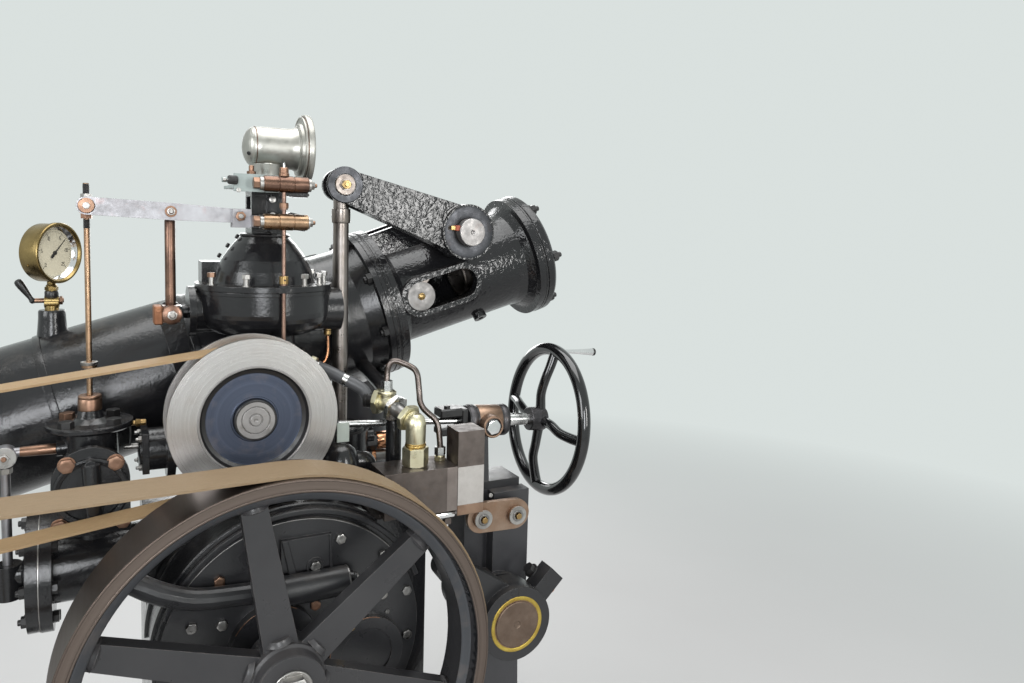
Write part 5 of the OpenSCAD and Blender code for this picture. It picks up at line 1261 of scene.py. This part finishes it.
def make_camera():
    data = bpy.data.cameras.new("camera")
    data.sensor_width = 36
    data.lens = FOCAL_PX / FRAME_W * data.sensor_width
    data.shift_x = -(CENTRE_X - FRAME_W / 2) / FRAME_W
    data.shift_y = (CENTRE_Y - FRAME_H / 2) / FRAME_W
    camera = bpy.data.objects.new("camera", data)
    bpy.context.scene.collection.objects.link(camera)
    ahead = Vector((sin(YAW) * cos(PITCH), cos(YAW) * cos(PITCH), -sin(PITCH)))
    level = Vector((cos(YAW), -sin(YAW), 0))
    upright = level.cross(ahead)
    right = level * cos(ROLL) + upright * sin(ROLL)
    up = upright * cos(ROLL) - level * sin(ROLL)
    camera.matrix_world = Matrix.Translation(EYE_POINT) @ Matrix((right, up, -ahead)).transposed().to_4x4()
    bpy.context.scene.camera = camera


def area_light(name, place, target, size, watts, colour):
    data = bpy.data.lights.new(name, "AREA")
    data.shape = "RECTANGLE"
    data.size, data.size_y = size
    data.energy = watts
    data.color = colour
    lamp = bpy.data.objects.new(name, data)
    lamp.location = place
    bpy.context.scene.collection.objects.link(lamp)
    lamp.rotation_euler = (target - lamp.location).to_track_quat("-Z", "Y").to_euler()


def make_world():
    world = bpy.data.worlds.new("world")
    bpy.context.scene.world = world
    world.use_nodes = True
    tree = world.node_tree
    tree.nodes.clear()
    out = tree.nodes.new("ShaderNodeOutputWorld")
    seen = tree.nodes.new("ShaderNodeBackground")
    lit = tree.nodes.new("ShaderNodeBackground")
    seen.inputs[0].default_value = (*BACKGROUND, 1)
    seen.inputs[1].default_value = 1.0
    lit.inputs[0].default_value = (0.95, 0.97, 1.0, 1)
    lit.inputs[1].default_value = 0.42
    path = tree.nodes.new("ShaderNodeLightPath")
    either = tree.nodes.new("ShaderNodeMath")
    either.operation = "MAXIMUM"
    glossy = tree.nodes.new("ShaderNodeMath")
    glossy.operation = "MAXIMUM"
    tree.links.new(path.outputs["Is Camera Ray"], either.inputs[0])
    tree.links.new(path.outputs["Is Transmission Ray"], either.inputs[1])
    tree.links.new(either.outputs[0], glossy.inputs[0])
    tree.links.new(path.outputs["Is Glossy Ray"], glossy.inputs[1])
    mix = tree.nodes.new("ShaderNodeMixShader")
    tree.links.new(glossy.outputs[0], mix.inputs[0])
    tree.links.new(lit.outputs[0], mix.inputs[1])
    tree.links.new(seen.outputs[0], mix.inputs[2])
    tree.links.new(mix.outputs[0], out.inputs[0])


def make_stage():
    bm = bmesh.new()
    half = 25
    corners = [bm.verts.new((x * half, y * half, -0.0005)) for x, y in ((-1, -1), (1, -1), (1, 1), (-1, 1))]
    bm.faces.new(corners)
    mesh = bpy.data.meshes.new("floor")
    bm.to_mesh(mesh)
    bm.free()
    floor = bpy.data.objects.new("floor", mesh)
    bpy.context.scene.collection.objects.link(floor)
    g = Graph("floor_pale")
    g.set(Base_Color=g.mix(g.noise(1.5, 3), (0.57, 0.57, 0.56), (0.53, 0.53, 0.52)), Roughness=0.65)
    # away from the machine the floor fades into the pale background
    far = g.fit(g.around(P(0, 100, 0), Z), 1.7, 4.6)
    path = g.node("LightPath")
    seen = g.math("MAXIMUM", path.outputs["Is Camera Ray"],
        g.math("MAXIMUM", path.outputs["Is Glossy Ray"], path.outputs["Is Transmission Ray"]))
    glow = g.node("Emission")
    glow.inputs[0].default_value = (*BACKGROUND, 1)
    blend = g.node("MixShader")
    g.put(blend.inputs[0], g.math("MULTIPLY", far, seen))
    g.link(g.bsdf.outputs[0], blend.inputs[1])
    g.link(glow.outputs[0], blend.inputs[2])
    g.link(blend.outputs[0], g.out.inputs[0])
    mesh.materials.append(g.mat)


bpy.context.scene.view_settings.view_transform = "Standard"
make_camera()
make_world()
make_stage()
# name: (place, target in millimetres, width and height, watts, colour)
LAMPS = {
    "window_right": ((1.45, -3.2, 1.75), (150, 0, 1200), (0.5, 1.5), 36, (1, 0.99, 0.97)),
    "window_left": ((-0.85, -3.2, 1.65), (-200, 0, 1100), (1.0, 1.4), 44, (0.95, 0.97, 1)),
    "window_side": ((-3.0, -1.4, 2.4), (-100, 0, 900), (1.6, 1.8), 60, (0.97, 0.985, 1)),
    "ceiling": ((0.2, 0.2, 3.4), (0, 0, 800), (2.6, 2.0), 60, (1, 1, 1)),
    "back_fill": ((0.9, 3.0, 2.0), (0, 0, 900), (2.2, 1.6), 45, (1, 1, 1)),
}
for name, (place, target, size, watts, colour) in LAMPS.items():
    area_light(name, Vector(place), P(*target), size, watts, colour)
